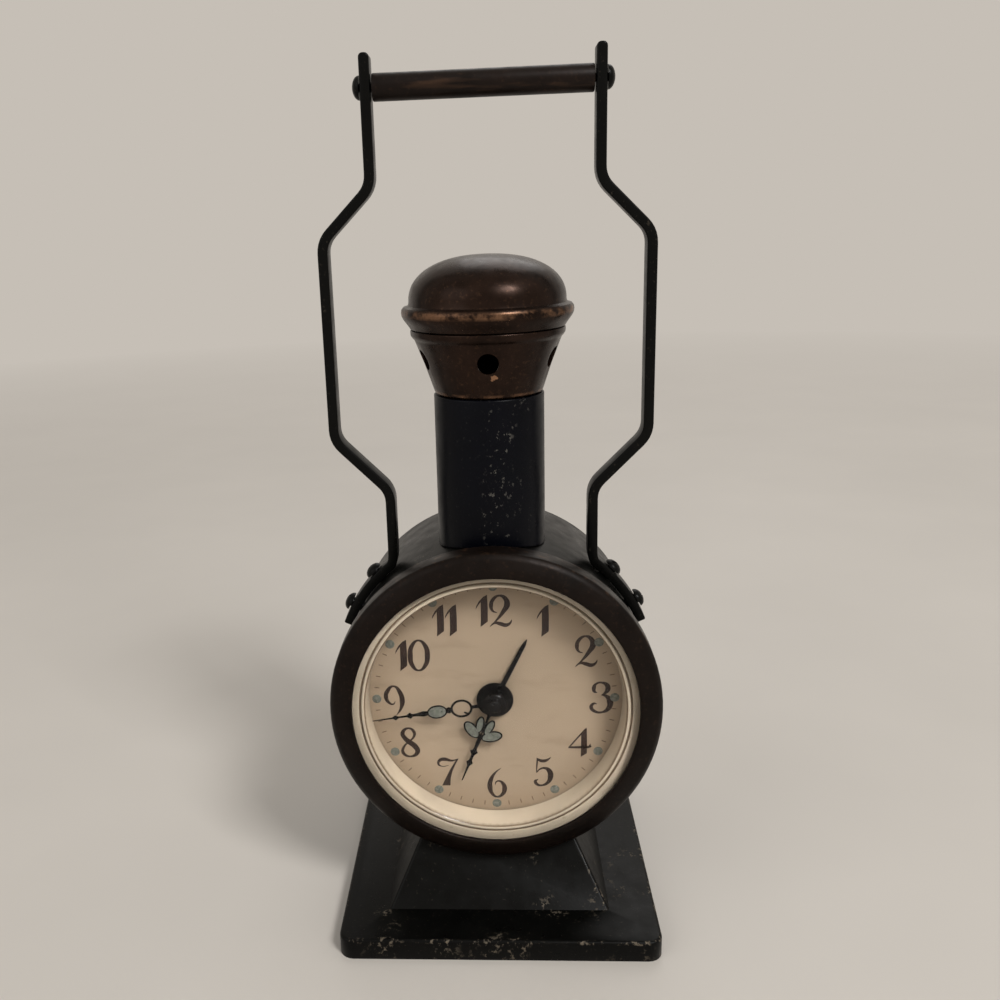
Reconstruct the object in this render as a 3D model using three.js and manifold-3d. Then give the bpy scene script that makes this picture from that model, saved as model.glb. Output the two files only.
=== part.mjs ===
// A wind-up alarm clock in the form of a railway signal lamp.
// Millimetres, +Z up, the dial faces -Y. The origin is the middle of the base's underside.
import * as THREE from "three";
import { mergeVertices } from "three/addons/utils/BufferGeometryUtils.js";
import Module from "manifold-3d";

const wasm = await Module();
wasm.setup();

// Clearances
const gap = 0.3; // between pieces that seat in, or pass through, one another
const overrun = 5; // how far a cut runs past the piece it cuts

// Base casting
const baseSide = 74.4;
const baseRimHeight = 5.05;
const baseCornerRadius = 3.4;
const baseEdgeBevel = 0.6;
const baseWall = 2.6;
const footSide = 53.2;
const footTopSide = 34;
const footEmbrace = 4.2; // how far the foot rises past the drum's lowest point
const feltThickness = 1.2;
const baseBoltRadius = 2;
const baseBoltHeadRadius = 4;
const baseBoltHeadThickness = 2.6;
const baseBoltReach = 5; // past the inside of the drum's wall
const nutRadius = 4;
const nutThickness = 2.6;

// Lamp drum and its bezel
const drumRadius = 36.7;
const drumWall = 1.2;
const drumCentreHeight = 55.7;
const drumFront = -20.5;
const drumBack = 23.9;
const drumFlangeWidth = 2.2;
const drumFlangeThickness = 1;
const rearLedgeWidth = 1.6;
const rearLedgeThickness = 1;
const coverThickness = 1.2;
const coverRecess = 4.1; // from the drum's rear edge to the back cover's outer face
const bezelStandout = 1.3; // past the drum
const bezelBack = -17.5;
const bezelShoulder = -22.7;
const bezelNose = -25.2;
const bezelFaceWidth = 5.4;
const bezelLipThickness = 1.2;
const bezelFaceFall = 1.4; // how far the face's outer edge lies behind its nose
const bezelFaceEdge = 1; // how far the face's outer edge lies inside the band

// Glass, cream ring and dial
const glassInset = 2.1; // from the drum's outer wall to the glass's edge
const glassRise = 3.2;
const glassThickness = 1.2;
const glassFront = -26.4;
const ringShoulderWidth = 2.9; // the flat flange under the glass's edge
const ringFlangeThickness = 0.9;
const ringGrooveWidth = 0.6;
const ringGrooveDepth = 0.5;
const ringLipRise = 0.3;
const ringLipWidth = 0.5;
const ringWidth = 5.1; // from the glass's edge to where the ring meets the dial
const ringWall = 1;
const dialEdgeInset = 0.2; // from the glass's edge
const dialThickness = 0.6;
const dialFace = -16.2;
const dialHoleRadius = 3;
const dialFootRadius = 0.8;
const dialFootInset = 9.4; // from the dial's edge
const dialFootAngles = [135, 315];

// Chimney, vent cap and tie rod
const lampPlane = -3.3; // chimney and bail stand this far in front of the base's middle
const chimneyRadius = 12.55;
const chimneyWall = 1.1;
const chimneyHeight = 33.6; // above the drum
const chimneyRimRound = 0.4;
const cowlNeckInset = 0.35; // from the chimney's outer wall
const cowlFlare = 4.45; // how far the cowl's top stands past the chimney
const cowlHeight = 14.6;
const cowlWall = 0.9;
const cowlSpigotLength = 6;
const cowlStepWidth = 0.5;
const cowlStepHeight = 0.8;
const ventHoleRadius = 2.33;
const ventHoleCount = 5;
const ventHoleRise = 8.2; // above the chimney's top
const capBeadStandout = 2.3; // past the cowl's top
const capBeadThickness = 3;
const capBeadRise = 3.5; // above the cowl's top
const capDomeStandout = 0.7; // past the cowl's top
const capDomeRise = 6; // above the cowl's top
const capDomeHeight = 10;
const capWall = 1;
const tieRodRadius = 1.5;
const tieRodHeadRadius = 3.4;
const tieRodHeadThickness = 2.2;
const tieRodReach = 5; // below the inside of the drum's wall

// Bail handle
const strapThickness = 2.25;
const strapWidth = 5;
const strapBendRadius = 2.6;
const strapLowSpanShare = 0.673; // of the drum's radius, to the strap's outer face
const strapTopSpread = 1.2; // how much wider each side stands at the top than on the drum
const strapBowSpread = 12.35; // the same where the bail bows round the cap
const strapTipRise = 6.7; // above the grip
const strapUpperDrop = 20.2; // from the grip to the upper bend
const strapLowerRise = 10.9; // from the drum's top to the lower bend
const strapTailAngle = 67.5; // degrees from the drum's top
const gripRise = 35; // above the cap
const gripRadius = 2.85;
const gripPinRadius = 0.9;
const gripPinHeadRadius = 2.5;
const gripPinHeadHeight = 1.5;
const gripPinDepth = 6;
const strapScrewAngles = [46.1, 60.2]; // degrees from the drum's top
const strapScrewHeadRadius = 2.2;
const strapScrewHeadHeight = 1.5;
const strapScrewRadius = 1.2;
const strapScrewReach = 3; // past the inside of the drum's wall

// Hands
const handThickness = 0.4;
const handSpacing = 1;
const minuteHandFace = -19.3;
const minuteHandShortfall = 0.4; // from the dial's visible edge
const hourHandShare = 0.7595; // of the minute hand's length
const alarmHandShare = 0.5842;
const minuteHandAngle = 261.6; // degrees clockwise from twelve
const hourHandAngle = 201.8;
const alarmHandAngle = 26.6;
const handHubWall = 0.9; // round the widest pipe
const bossRadius = 4.25;
const bossHeight = 2;
const pipeWall = 0.5;

// Movement plates and pillars
const plateClearance = 5.5; // from the drum's inner wall to the plates
const plateThickness = 1.3;
const frontPlateBack = -8.2;
const rearPlateFront = 9;
const pillarShare = 0.1; // of the plate's radius, as the shares that follow
const pillarNeckShare = 0.0667;
const pillarAngles = [30, 150, 270];
const coverScrewRadius = 0.8;
const coverScrewHeadRadius = 2;
const coverScrewHeadHeight = 1.1;
const coverScrewDepth = 4;

// Arbors and wheels
const arborShare = 0.02667;
const pivotShare = 0.02;
const escapePivotShare = 0.01667;
const wheelThickness = 1;
const wheelSpacing = 1.4; // between wheels that pass one another
const pinionOverlap = 0.3; // how far a pinion stands past its wheel on each side
const greatPinionLength = 2.4;
const barrelWallInset = 0.6; // from the tooth roots to the barrel's drum
const centreBoss = 0.6; // wall of the centre wheel's sleeve
const centreArborRear = 26;

// Teeth of each meshing pair, and their modules as shares of the plate's radius
const greatTeeth = 40;
const centrePinionTeeth = 8;
const greatModuleShare = 0.02;
const centreTeeth = 45;
const centreModuleShare = 0.01506;
const thirdTeeth = 45;
const thirdModuleShare = 0.012443;
const fourthTeeth = 48;
const fourthModuleShare = 0.009777;
const trainPinionTeeth = 6;
const alarmGreatTeeth = 36;
const alarmGreatModuleShare = 0.017777;
const cannonTeeth = 8;
const minuteTeeth = 24;
const minutePinionTeeth = 8;
const hourTeeth = 32;
const minuteModuleShare = 0.015625;
const alarmWheelTeeth = 32;
const alarmSetTeeth = 8;
const alarmSetModuleShare = 0.02;
const addendumShare = 0.85; // of the module
const dedendumShare = 1.25;
const leafRootHalfShare = 0.24; // of the tooth pitch
const leafTipHalfShare = 0.06;

// Escapement, balance, regulator and alarm hammer
const escapeTeeth = 16;
const escapeShare = 0.16667; // of the plate's radius, as the shares that follow
const starTeeth = 12;
const starShare = 0.16667;
const pointedRootShare = 0.78;
const palletSpanTeeth = 3.5;
const hammerSpanTeeth = 2.5;
const alarmBarrelShare = 0.6; // from the drum's axis
const palletPinShare = 0.00733;
const hammerPinShare = 0.01;
const pinStandoffShare = 0.67; // of a pin's radius, from the teeth's tips to its middle
const anchorHeelRadius = 2;
const anchorRise = 0.8; // from the wheel to the middle of the anchor
const forkWidth = 1;
const forkGap = 0.4; // from the fork's end to the balance's pin
const balanceDistanceShare = 0.26667;
const balanceShare = 0.21667;
const balanceRimWidth = 1.1;
const balanceSpokeWidth = 0.9;
const balancePinRadius = 0.3;
const balancePinReach = 1.5;
const balanceRise = 1.2; // from the fork to the balance
const hammerArmShare = 0.43333;
const hammerArmWidth = 1.5;
const hammerHeadShare = 0.07333;
const hammerHeadLength = 3;
const hammerRise = 1.5; // behind the rear plate
const hammerTravelShare = 0.05667;
const bellPostShare = 0.05;
const regulatorReachShare = 0.23333;
const regulatorWidth = 2;
const regulatorThickness = 0.8;
const regulatorCollarRadius = 2;
const regulatorRange = 20; // degrees to each side
const regulatorTabReach = 2.2; // behind the back cover

// Keys, knobs and stop button
const controlClearance = 1; // from the back cover to a key or knob
const keyWingSpanShare = 0.6; // of the plate's radius
const keyWingHeight = 8.5;
const keyThickness = 1.5;
const keyHubRadius = 2.6;
const keyHubLength = 5;
const keyHubFloor = 2;
const keyWingSink = 1.5;
const setKnobRadius = 4.3;
const alarmKnobRadius = 3.4;
const knobLength = 5.5;
const knobFluteCount = 10;
const knobFluteDepth = 0.45;
const stopShare = 0.84; // of the plate's radius, from the drum's axis
const stopPinRadius = 1.3;
const stopButtonRadius = 2.6;
const stopButtonLength = 3;
const stopTravel = 3;

// Sizes that follow from the drum
const drumInside = drumRadius - drumWall;
const drumTop = drumCentreHeight + drumRadius;
const footTopHeight = drumCentreHeight - drumRadius + footEmbrace;
const bezelRadius = drumRadius + bezelStandout;
const bezelOpeningRadius = bezelRadius - bezelFaceWidth;
const glassRadius = drumRadius - glassInset;
const ringShoulderRadius = glassRadius - ringShoulderWidth;
const ringInnerRadius = glassRadius - ringWidth;
const dialRadius = glassRadius - dialEdgeInset;
const minuteHandLength = ringInnerRadius - minuteHandShortfall;
const hourHandLength = hourHandShare * minuteHandLength;
const alarmHandLength = alarmHandShare * minuteHandLength;

// Heights up the chimney, cap and bail
const chimneyTop = drumTop + chimneyHeight;
const cowlTop = chimneyTop + cowlHeight;
const ventHoleHeight = chimneyTop + ventHoleRise;
const capBeadHeight = cowlTop + capBeadRise;
const capDomeBase = cowlTop + capDomeRise;
const capTop = capDomeBase + capDomeHeight;
const gripHeight = capTop + gripRise;
const strapTop = gripHeight + strapTipRise;
const strapUpperKink = gripHeight - strapUpperDrop;
const strapLowerKink = drumTop + strapLowerRise;

// Widths of the cowl, cap and bail
const cowlNeckRadius = chimneyRadius - cowlNeckInset;
const cowlTopRadius = chimneyRadius + cowlFlare;
const capBeadRadius = cowlTopRadius + capBeadStandout;
const capDomeRadius = cowlTopRadius + capDomeStandout;
const strapLowHalfSpan = strapLowSpanShare * drumRadius;
const strapTopHalfSpan = strapLowHalfSpan + strapTopSpread;
const strapMiddleHalfSpan = strapLowHalfSpan + strapBowSpread;

// Sizes that follow from the movement's plates
const plateRadius = drumInside - plateClearance;
const pillarRadius = pillarShare * plateRadius;
const pillarNeckRadius = pillarNeckShare * plateRadius;
const arborRadius = arborShare * plateRadius;
const pivotRadius = pivotShare * plateRadius;
const escapePivotRadius = escapePivotShare * plateRadius;
const greatModule = greatModuleShare * plateRadius;
const centreModule = centreModuleShare * plateRadius;
const thirdModule = thirdModuleShare * plateRadius;
const fourthModule = fourthModuleShare * plateRadius;
const alarmGreatModule = alarmGreatModuleShare * plateRadius;
const minuteModule = minuteModuleShare * plateRadius;
const hourModule = (minuteModule * (cannonTeeth + minuteTeeth)) / (minutePinionTeeth + hourTeeth);
const alarmSetModule = alarmSetModuleShare * plateRadius;
const escapeRadius = escapeShare * plateRadius;
const starRadius = starShare * plateRadius;
const palletPinRadius = palletPinShare * plateRadius;
const hammerPinRadius = hammerPinShare * plateRadius;
const balanceDistance = balanceDistanceShare * plateRadius;
const balanceRadius = balanceShare * plateRadius;
const hammerArmLength = hammerArmShare * plateRadius;
const hammerHeadRadius = hammerHeadShare * plateRadius;
const hammerTravel = hammerTravelShare * plateRadius;
const bellPostRadius = bellPostShare * plateRadius;
const regulatorReach = regulatorReachShare * plateRadius;
const keyWingSpan = keyWingSpanShare * plateRadius;

// Facets
const drumFacets = 36;
const lampFacets = 24;
const smallFacets = 12;
const pivotFacets = 8;
const pinFacets = 6;

// Materials
const material = (color, roughness, metalness) =>
  new THREE.MeshStandardMaterial({ color, roughness, metalness });
const blackPaint = material(0x15161a, 0.42, 0.3);
const navyPaint = material(0x10131f, 0.35, 0.3);
const bronzePaint = material(0x2e211b, 0.45, 0.5);
const copperPaint = material(0x4a3226, 0.5, 0.6);
const gripBrown = material(0x2b1d18, 0.5, 0.2);
const creamEnamel = material(0xcfc2a8, 0.5, 0);
const dialPaper = material(0xbfae95, 0.7, 0);
const handBlack = material(0x1a1210, 0.4, 0.4);
const brass = material(0xb08d4a, 0.35, 0.9);
const steel = material(0x9a9a9c, 0.35, 0.9);
const felt = material(0x23282a, 0.95, 0);
const clearGlass = material(0xffffff, 0.05, 0);
clearGlass.transparent = true;
clearGlass.opacity = 0.2;

// Turns a closed geometry into a solid, with its faces turned out.
function solid(geometry) {
  const bare = geometry.index ? geometry.toNonIndexed() : geometry.clone();
  bare.deleteAttribute("normal");
  bare.deleteAttribute("uv");
  const merged = mergeVertices(bare, 1e-4);
  const index = merged.index.array;
  const triangles = [];
  for (let i = 0; i < index.length; i += 3) {
    const [a, b, c] = [index[i], index[i + 1], index[i + 2]];
    if (a !== b && b !== c && c !== a) triangles.push(a, b, c);
  }
  const build = (list) =>
    new wasm.Manifold(
      new wasm.Mesh({
        numProp: 3,
        vertProperties: merged.attributes.position.array,
        triVerts: new Uint32Array(list),
      }),
    );
  const made = build(triangles);
  return made.volume() < 0 ? build(triangles.reverse()) : made;
}

// Puts a solid's faces into a named mesh.
function piece(name, body, look) {
  const { vertProperties, triVerts } = body.getMesh();
  const geometry = new THREE.BufferGeometry();
  geometry.setAttribute("position", new THREE.BufferAttribute(vertProperties, 3));
  geometry.setIndex(new THREE.BufferAttribute(triVerts, 1));
  const mesh = new THREE.Mesh(geometry, look);
  mesh.name = name;
  return mesh;
}

const degrees = THREE.MathUtils.degToRad;
const fullTurn = 2 * Math.PI;
const quarterTurn = Math.PI / 2;
const joined = (bodies) => bodies.reduce((sum, body) => sum.add(body));
const cutFrom = (body, tools) => tools.reduce((rest, tool) => rest.subtract(tool), body);
const points = (list) => list.map(([x, y]) => new THREE.Vector2(x, y));
const polar = (radius, angle) => [radius * Math.cos(angle), radius * Math.sin(angle)];
const away = ([x, z], distance, angle) => [
  x + distance * Math.cos(angle),
  z + distance * Math.sin(angle),
];

// A closed profile of (radius, along) points revolved about the Y axis.
function turnedAlongY(profile, facets) {
  return solid(new THREE.LatheGeometry(points([...profile, profile[0]]), facets));
}

// The same about the Z axis.
function turnedAlongZ(profile, facets) {
  const geometry = new THREE.LatheGeometry(points([...profile, profile[0]]), facets);
  return solid(geometry.rotateX(quarterTurn));
}

// Round bars along Y and along Z, from one place to the other
function rodAlongY(radius, from, to, facets = smallFacets) {
  const geometry = new THREE.CylinderGeometry(radius, radius, to - from, facets);
  return solid(geometry.translate(0, (from + to) / 2, 0));
}

function rodAlongZ(radius, from, to, facets = smallFacets) {
  const geometry = new THREE.CylinderGeometry(radius, radius, to - from, facets);
  return solid(geometry.translate(0, (from + to) / 2, 0).rotateX(quarterTurn));
}

// A shape drawn in X and Z as seen from the front, made solid from one Y to the other.
function plateAlongY(shape, from, to, curveSegments = 4) {
  const options = { depth: to - from, bevelEnabled: false, curveSegments };
  const geometry = new THREE.ExtrudeGeometry(shape, options);
  return solid(geometry.rotateX(quarterTurn).translate(0, to, 0));
}

// A shape drawn in X and Y, made solid from one height to the other.
function plateAlongZ(shape, from, to) {
  const options = { depth: to - from, bevelEnabled: false, curveSegments: 3 };
  return solid(new THREE.ExtrudeGeometry(shape, options).translate(0, 0, from));
}

function circleShape(radius) {
  const shape = new THREE.Shape();
  shape.absarc(0, 0, radius, 0, fullTurn);
  return shape;
}

function ellipseShape(x, z, radiusX, radiusZ, turn) {
  const shape = new THREE.Shape();
  shape.absellipse(x, z, radiusX, radiusZ, 0, fullTurn, false, turn);
  return shape;
}

const outline = (list) => new THREE.Shape(points(list));

// A straight bar in X and Z, from one radius to another, centred on a direction.
function barShape(width, fromRadius, toRadius, direction) {
  const half = width / 2;
  const near = polar(fromRadius, direction);
  const far = polar(toRadius, direction);
  return outline([
    away(near, half, direction - quarterTurn),
    away(far, half, direction - quarterTurn),
    away(far, half, direction + quarterTurn),
    away(near, half, direction + quarterTurn),
  ]);
}

const meshDistance = (first, second, module) => ((first + second) * module) / 2;
const tipRadius = (teeth, module) => (teeth * module) / 2 + addendumShare * module;
const rootRadius = (teeth, module) => (teeth * module) / 2 - dedendumShare * module;

// A wheel with pointed teeth, the first of them at the given angle.
function wheelShape(teeth, module, firstTooth) {
  const pitch = fullTurn / teeth;
  const list = [];
  for (let i = 0; i < teeth; i += 1) {
    const middle = firstTooth + i * pitch;
    list.push(polar(tipRadius(teeth, module), middle));
    list.push(polar(rootRadius(teeth, module), middle + pitch / 2));
  }
  return outline(list);
}

// A pinion, whose few leaves have flat tips and clear roots.
function pinionShape(teeth, module, firstTooth) {
  const tip = tipRadius(teeth, module);
  const root = rootRadius(teeth, module);
  const pitch = fullTurn / teeth;
  const list = [];
  for (let i = 0; i < teeth; i += 1) {
    const middle = firstTooth + i * pitch;
    list.push(polar(root, middle - leafRootHalfShare * pitch));
    list.push(polar(tip, middle - leafTipHalfShare * pitch));
    list.push(polar(tip, middle + leafTipHalfShare * pitch));
    list.push(polar(root, middle + leafRootHalfShare * pitch));
  }
  return outline(list);
}

const wheel = (teeth, module, from, firstTooth) =>
  plateAlongY(wheelShape(teeth, module, firstTooth), from, from + wheelThickness);
const pinion = (teeth, module, from, to, firstTooth) =>
  plateAlongY(pinionShape(teeth, module, firstTooth), from, to);

// A wheel with long pointed teeth, for the escapement and the alarm's hammer
function ratchetWheel(teeth, radius, from, firstTooth) {
  const list = [];
  const pitch = fullTurn / teeth;
  for (let i = 0; i < teeth; i += 1) {
    list.push(polar(pointedRootShare * radius, firstTooth + (i - 0.25) * pitch));
    list.push(polar(radius, firstTooth + i * pitch));
    list.push(polar(pointedRootShare * radius, firstTooth + (i + 0.25) * pitch));
  }
  return plateAlongY(outline(list), from, from + wheelThickness);
}

// The first tooth's angle that meshes with a driver, which sees the wheel at a direction.
function inMesh(driverTeeth, driverFirstTooth, teeth, direction) {
  const driverPlace = (direction - driverFirstTooth) / (fullTurn / driverTeeth);
  const pitch = fullTurn / teeth;
  return direction + Math.PI + driverPlace * pitch - pitch / 2;
}

// Places on the movement's plates, as X and Z from the drum's axis
const centreAt = [0, 0];
const greatDirection = degrees(225);
const greatDistance = meshDistance(greatTeeth, centrePinionTeeth, greatModule);
const greatAt = away(centreAt, greatDistance, greatDirection);
const thirdDirection = degrees(160);
const thirdDistance = meshDistance(centreTeeth, trainPinionTeeth, centreModule);
const thirdAt = away(centreAt, thirdDistance, thirdDirection);
const fourthDirection = degrees(70);
const fourthDistance = meshDistance(thirdTeeth, trainPinionTeeth, thirdModule);
const fourthAt = away(thirdAt, fourthDistance, fourthDirection);
const escapeDirection = degrees(10);
const escapeDistance = meshDistance(fourthTeeth, trainPinionTeeth, fourthModule);
const escapeAt = away(fourthAt, escapeDistance, escapeDirection);
const palletHalfSpan = (palletSpanTeeth / 2 / escapeTeeth) * fullTurn;
const palletDirection = degrees(45);
const palletDistance = escapeRadius / Math.cos(palletHalfSpan);
const palletAt = away(escapeAt, palletDistance, palletDirection);
const balanceDirection = degrees(30);
const balanceAt = away(palletAt, balanceDistance, balanceDirection);
const alarmBarrelDirection = degrees(316);
const alarmBarrelAt = polar(alarmBarrelShare * plateRadius, alarmBarrelDirection);
const starDirection = degrees(60);
const starDistance = meshDistance(alarmGreatTeeth, trainPinionTeeth, alarmGreatModule);
const starAt = away(alarmBarrelAt, starDistance, starDirection);
const hammerHalfSpan = (hammerSpanTeeth / 2 / starTeeth) * fullTurn;
const hammerDirection = degrees(80);
const hammerDistance = starRadius / Math.cos(hammerHalfSpan);
const hammerAt = away(starAt, hammerDistance, hammerDirection);
const hammerArmDirection = degrees(97);
const alarmSetDirection = degrees(20);
const alarmSetDistance = meshDistance(alarmWheelTeeth, alarmSetTeeth, alarmSetModule);
const alarmSetAt = away(centreAt, alarmSetDistance, alarmSetDirection);
const minuteWheelDirection = degrees(125);
const minuteWheelDistance = meshDistance(cannonTeeth, minuteTeeth, minuteModule);
const minuteWheelAt = away(centreAt, minuteWheelDistance, minuteWheelDirection);
const regulatorDirection = degrees(200);
const stopDirection = degrees(124);
const stopAt = polar(stopShare * plateRadius, stopDirection);
const pillarPlaces = pillarAngles.map((angle) =>
  polar(plateRadius - pillarRadius, degrees(angle)),
);
const dialFootPlaces = dialFootAngles.map((angle) =>
  polar(dialRadius - dialFootInset, degrees(angle)),
);

// Depths and heights that follow from the sizes
const coverFace = drumBack - coverRecess;
const coverInside = coverFace - coverThickness;
const frontPlateFace = frontPlateBack - plateThickness;
const rearPlateBack = rearPlateFront + plateThickness;
const controlFront = coverFace + controlClearance;
const windingArborRear = controlFront + keyHubLength - keyHubFloor;
const dialBack = dialFace + dialThickness;
const hourHandFace = minuteHandFace + handSpacing;
const alarmHandFace = hourHandFace + handSpacing;
const hourPipeRadius = arborRadius + gap + pipeWall;
const alarmPipeRadius = hourPipeRadius + gap + pipeWall;
const handHubRadius = alarmPipeRadius + gap + handHubWall;
const footCavityTop = drumCentreHeight - drumRadius - gap - baseWall;
const baseBoltTop = drumCentreHeight - drumInside + baseBoltReach;

const clock = new THREE.Group();
const head = new THREE.Group(); // what is centred on the drum's axis
head.position.z = drumCentreHeight;
const lamp = new THREE.Group(); // chimney, cap and bail
lamp.position.y = lampPlane;
clock.add(head, lamp);

// Adds a piece to the head, about its own centre.
function place(name, body, look, [x, z], y = 0) {
  const made = piece(name, body, look);
  made.position.set(x, y, z);
  head.add(made);
  return made;
}

// A cylinder about the drum's axis, as a tool in the clock's own frame
function drumTool(radius, from, to) {
  return rodAlongY(radius, from, to, drumFacets).translate(0, 0, drumCentreHeight);
}

function roundedSquare(side) {
  const inner = side / 2 - baseCornerRadius;
  const shape = new THREE.Shape();
  shape.absarc(inner, inner, baseCornerRadius, 0, quarterTurn);
  shape.absarc(-inner, inner, baseCornerRadius, quarterTurn, Math.PI);
  shape.absarc(-inner, -inner, baseCornerRadius, Math.PI, 3 * quarterTurn);
  shape.absarc(inner, -inner, baseCornerRadius, 3 * quarterTurn, fullTurn);
  return shape;
}

// A four-sided block that tapers upwards
function pyramid(bottomSide, topSide, from, to) {
  const top = topSide * Math.SQRT1_2;
  const bottom = bottomSide * Math.SQRT1_2;
  const geometry = new THREE.CylinderGeometry(top, bottom, to - from, 4, 1, false, Math.PI / 4);
  return solid(geometry.translate(0, (from + to) / 2, 0).rotateX(quarterTurn));
}

function baseShell() {
  const rim = new THREE.ExtrudeGeometry(roundedSquare(baseSide - 2 * baseEdgeBevel), {
    depth: baseRimHeight - baseEdgeBevel,
    bevelThickness: baseEdgeBevel,
    bevelSize: baseEdgeBevel,
    bevelSegments: 1,
    curveSegments: 3,
  });
  const foot = pyramid(footSide, footTopSide, baseRimHeight - baseEdgeBevel, footTopHeight);
  const taper = (footSide - footTopSide) / (footTopHeight - baseRimHeight);
  const cavitySide = footSide - 2 * baseWall;
  const cavityTopSide = cavitySide - taper * (footCavityTop - baseRimHeight);
  const cavityFloor = baseRimHeight - baseWall;
  const underside = roundedSquare(baseSide - 2 * baseWall);
  return cutFrom(joined([solid(rim), foot]), [
    plateAlongZ(roundedSquare(baseSide + 2 * overrun), -overrun, 0),
    plateAlongZ(underside, -overrun, cavityFloor),
    pyramid(cavitySide, cavityTopSide, cavityFloor - gap, footCavityTop),
    drumTool(drumRadius + gap, -baseSide, baseSide),
    drumTool(bezelRadius + gap, -baseSide, bezelBack + gap),
    rodAlongZ(baseBoltRadius + gap, 0, footTopHeight + overrun),
  ]);
}

// A six-sided nut along Z
function hexNut(radius, thickness, bore) {
  const body = rodAlongZ(radius, 0, thickness, 6);
  return body.subtract(rodAlongZ(bore, -overrun, thickness + overrun, pivotFacets));
}

function buildBase() {
  clock.add(piece("base_shell", baseShell(), blackPaint));

  const padShape = roundedSquare(baseSide - 2 * baseWall - 2 * gap);
  const padHole = rodAlongZ(baseBoltHeadRadius + gap, -overrun, overrun);
  const pad = plateAlongZ(padShape, gap, gap + feltThickness).subtract(padHole);
  clock.add(piece("base_felt_pad", pad, felt));

  const headTop = footCavityTop - gap;
  const bolt = joined([
    rodAlongZ(baseBoltHeadRadius, headTop - baseBoltHeadThickness, headTop, 6),
    rodAlongZ(baseBoltRadius, headTop - baseBoltHeadThickness, baseBoltTop, pivotFacets),
  ]);
  clock.add(piece("base_bolt", bolt, steel));

  const nut = piece("base_nut", hexNut(nutRadius, nutThickness, baseBoltRadius + gap), steel);
  nut.position.z = drumCentreHeight - Math.sqrt(drumInside ** 2 - nutRadius ** 2) + gap / 2;
  clock.add(nut);
}

// A tool for a hole square to the drum's wall, at an angle from the top
function radialHole(radius, angle) {
  const tool = rodAlongZ(radius, drumInside - overrun, drumRadius + overrun, pivotFacets);
  return tool.rotate([0, angle, 0]);
}

function buildDrum() {
  const ledgeBack = coverInside - gap;
  const ledgeFront = ledgeBack - rearLedgeThickness;
  const flangeBack = drumFront + drumFlangeThickness;
  const shell = turnedAlongY(
    [
      [drumRadius, drumFront],
      [drumRadius, drumBack],
      [drumInside, drumBack],
      [drumInside, ledgeBack],
      [drumInside - rearLedgeWidth, ledgeBack],
      [drumInside - rearLedgeWidth, ledgeFront],
      [drumInside, ledgeFront],
      [drumInside, flangeBack],
      [drumInside - drumFlangeWidth, flangeBack],
      [drumInside - drumFlangeWidth, drumFront],
    ],
    drumFacets,
  );
  const holes = [radialHole(baseBoltRadius + gap, 180)];
  holes.push(radialHole(tieRodRadius + gap, 0).translate([0, lampPlane, 0]));
  for (const side of [-1, 1])
    for (const angle of strapScrewAngles) {
      const hole = radialHole(strapScrewRadius + gap, side * angle);
      holes.push(hole.translate([0, lampPlane, 0]));
    }
  head.add(piece("drum_case", cutFrom(shell, holes), blackPaint));

  const faceEdge = bezelNose + bezelFaceFall;
  const lipBack = bezelNose + bezelLipThickness;
  const bezel = turnedAlongY(
    [
      [bezelRadius, bezelBack],
      [bezelRadius, bezelShoulder],
      [bezelRadius - bezelFaceEdge, faceEdge],
      [bezelOpeningRadius + gap, bezelNose],
      [bezelOpeningRadius, bezelNose + gap],
      [bezelOpeningRadius, lipBack],
      [glassRadius + gap, lipBack + 2 * gap],
      [glassRadius + gap, drumFront - gap],
      [drumRadius + gap, drumFront - gap],
      [drumRadius + gap, bezelBack],
    ],
    drumFacets,
  );
  head.add(piece("front_bezel", bezel, bronzePaint));
}

// Depth of the glass at a radius: a sphere that rises by glassRise over its rim
function glassDepth(radius, apex) {
  const sphere = (glassRadius ** 2 + glassRise ** 2) / (2 * glassRise);
  return apex + sphere - Math.sqrt(sphere ** 2 - radius ** 2);
}

function buildGlassAndDial() {
  const steps = 3;
  const front = [];
  const back = [];
  for (let i = 0; i <= steps; i += 1) {
    const radius = (glassRadius * i) / steps;
    front.push([radius, glassDepth(radius, glassFront)]);
    back.unshift([radius, glassDepth(radius, glassFront + glassThickness)]);
  }
  const glass = turnedAlongY([...front, ...back], drumFacets);
  head.add(piece("crystal_lens", glass, clearGlass));

  // A stepped ring, with a groove just inside its shoulder and a wall down to the dial
  const ringFront = glassDepth(glassRadius, glassFront + glassThickness) + gap;
  const grooveInner = ringShoulderRadius - ringGrooveWidth;
  const ring = turnedAlongY(
    [
      [glassRadius, ringFront + ringFlangeThickness],
      [glassRadius, ringFront],
      [ringShoulderRadius, ringFront],
      [ringShoulderRadius, ringFront + ringGrooveDepth],
      [grooveInner, ringFront + ringGrooveDepth],
      [grooveInner, ringFront - ringLipRise],
      [grooveInner - ringLipWidth, ringFront - ringLipRise],
      [ringInnerRadius, dialFace - gap],
      [ringInnerRadius + ringWall, dialFace - gap],
      [ringShoulderRadius, ringFront + ringFlangeThickness],
    ],
    drumFacets,
  );
  head.add(piece("dial_rim", ring, creamEnamel));

  const disc = circleShape(dialRadius);
  disc.holes.push(circleShape(dialHoleRadius));
  const feet = dialFootPlaces.map(([x, z]) =>
    rodAlongY(dialFootRadius, dialFace + dialThickness / 2, frontPlateBack, pivotFacets).translate(
      x,
      0,
      z,
    ),
  );
  const dial = joined([plateAlongY(disc, dialFace, dialBack, 16), ...feet]);
  head.add(piece("dial_plate", dial, dialPaper));
}

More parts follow.
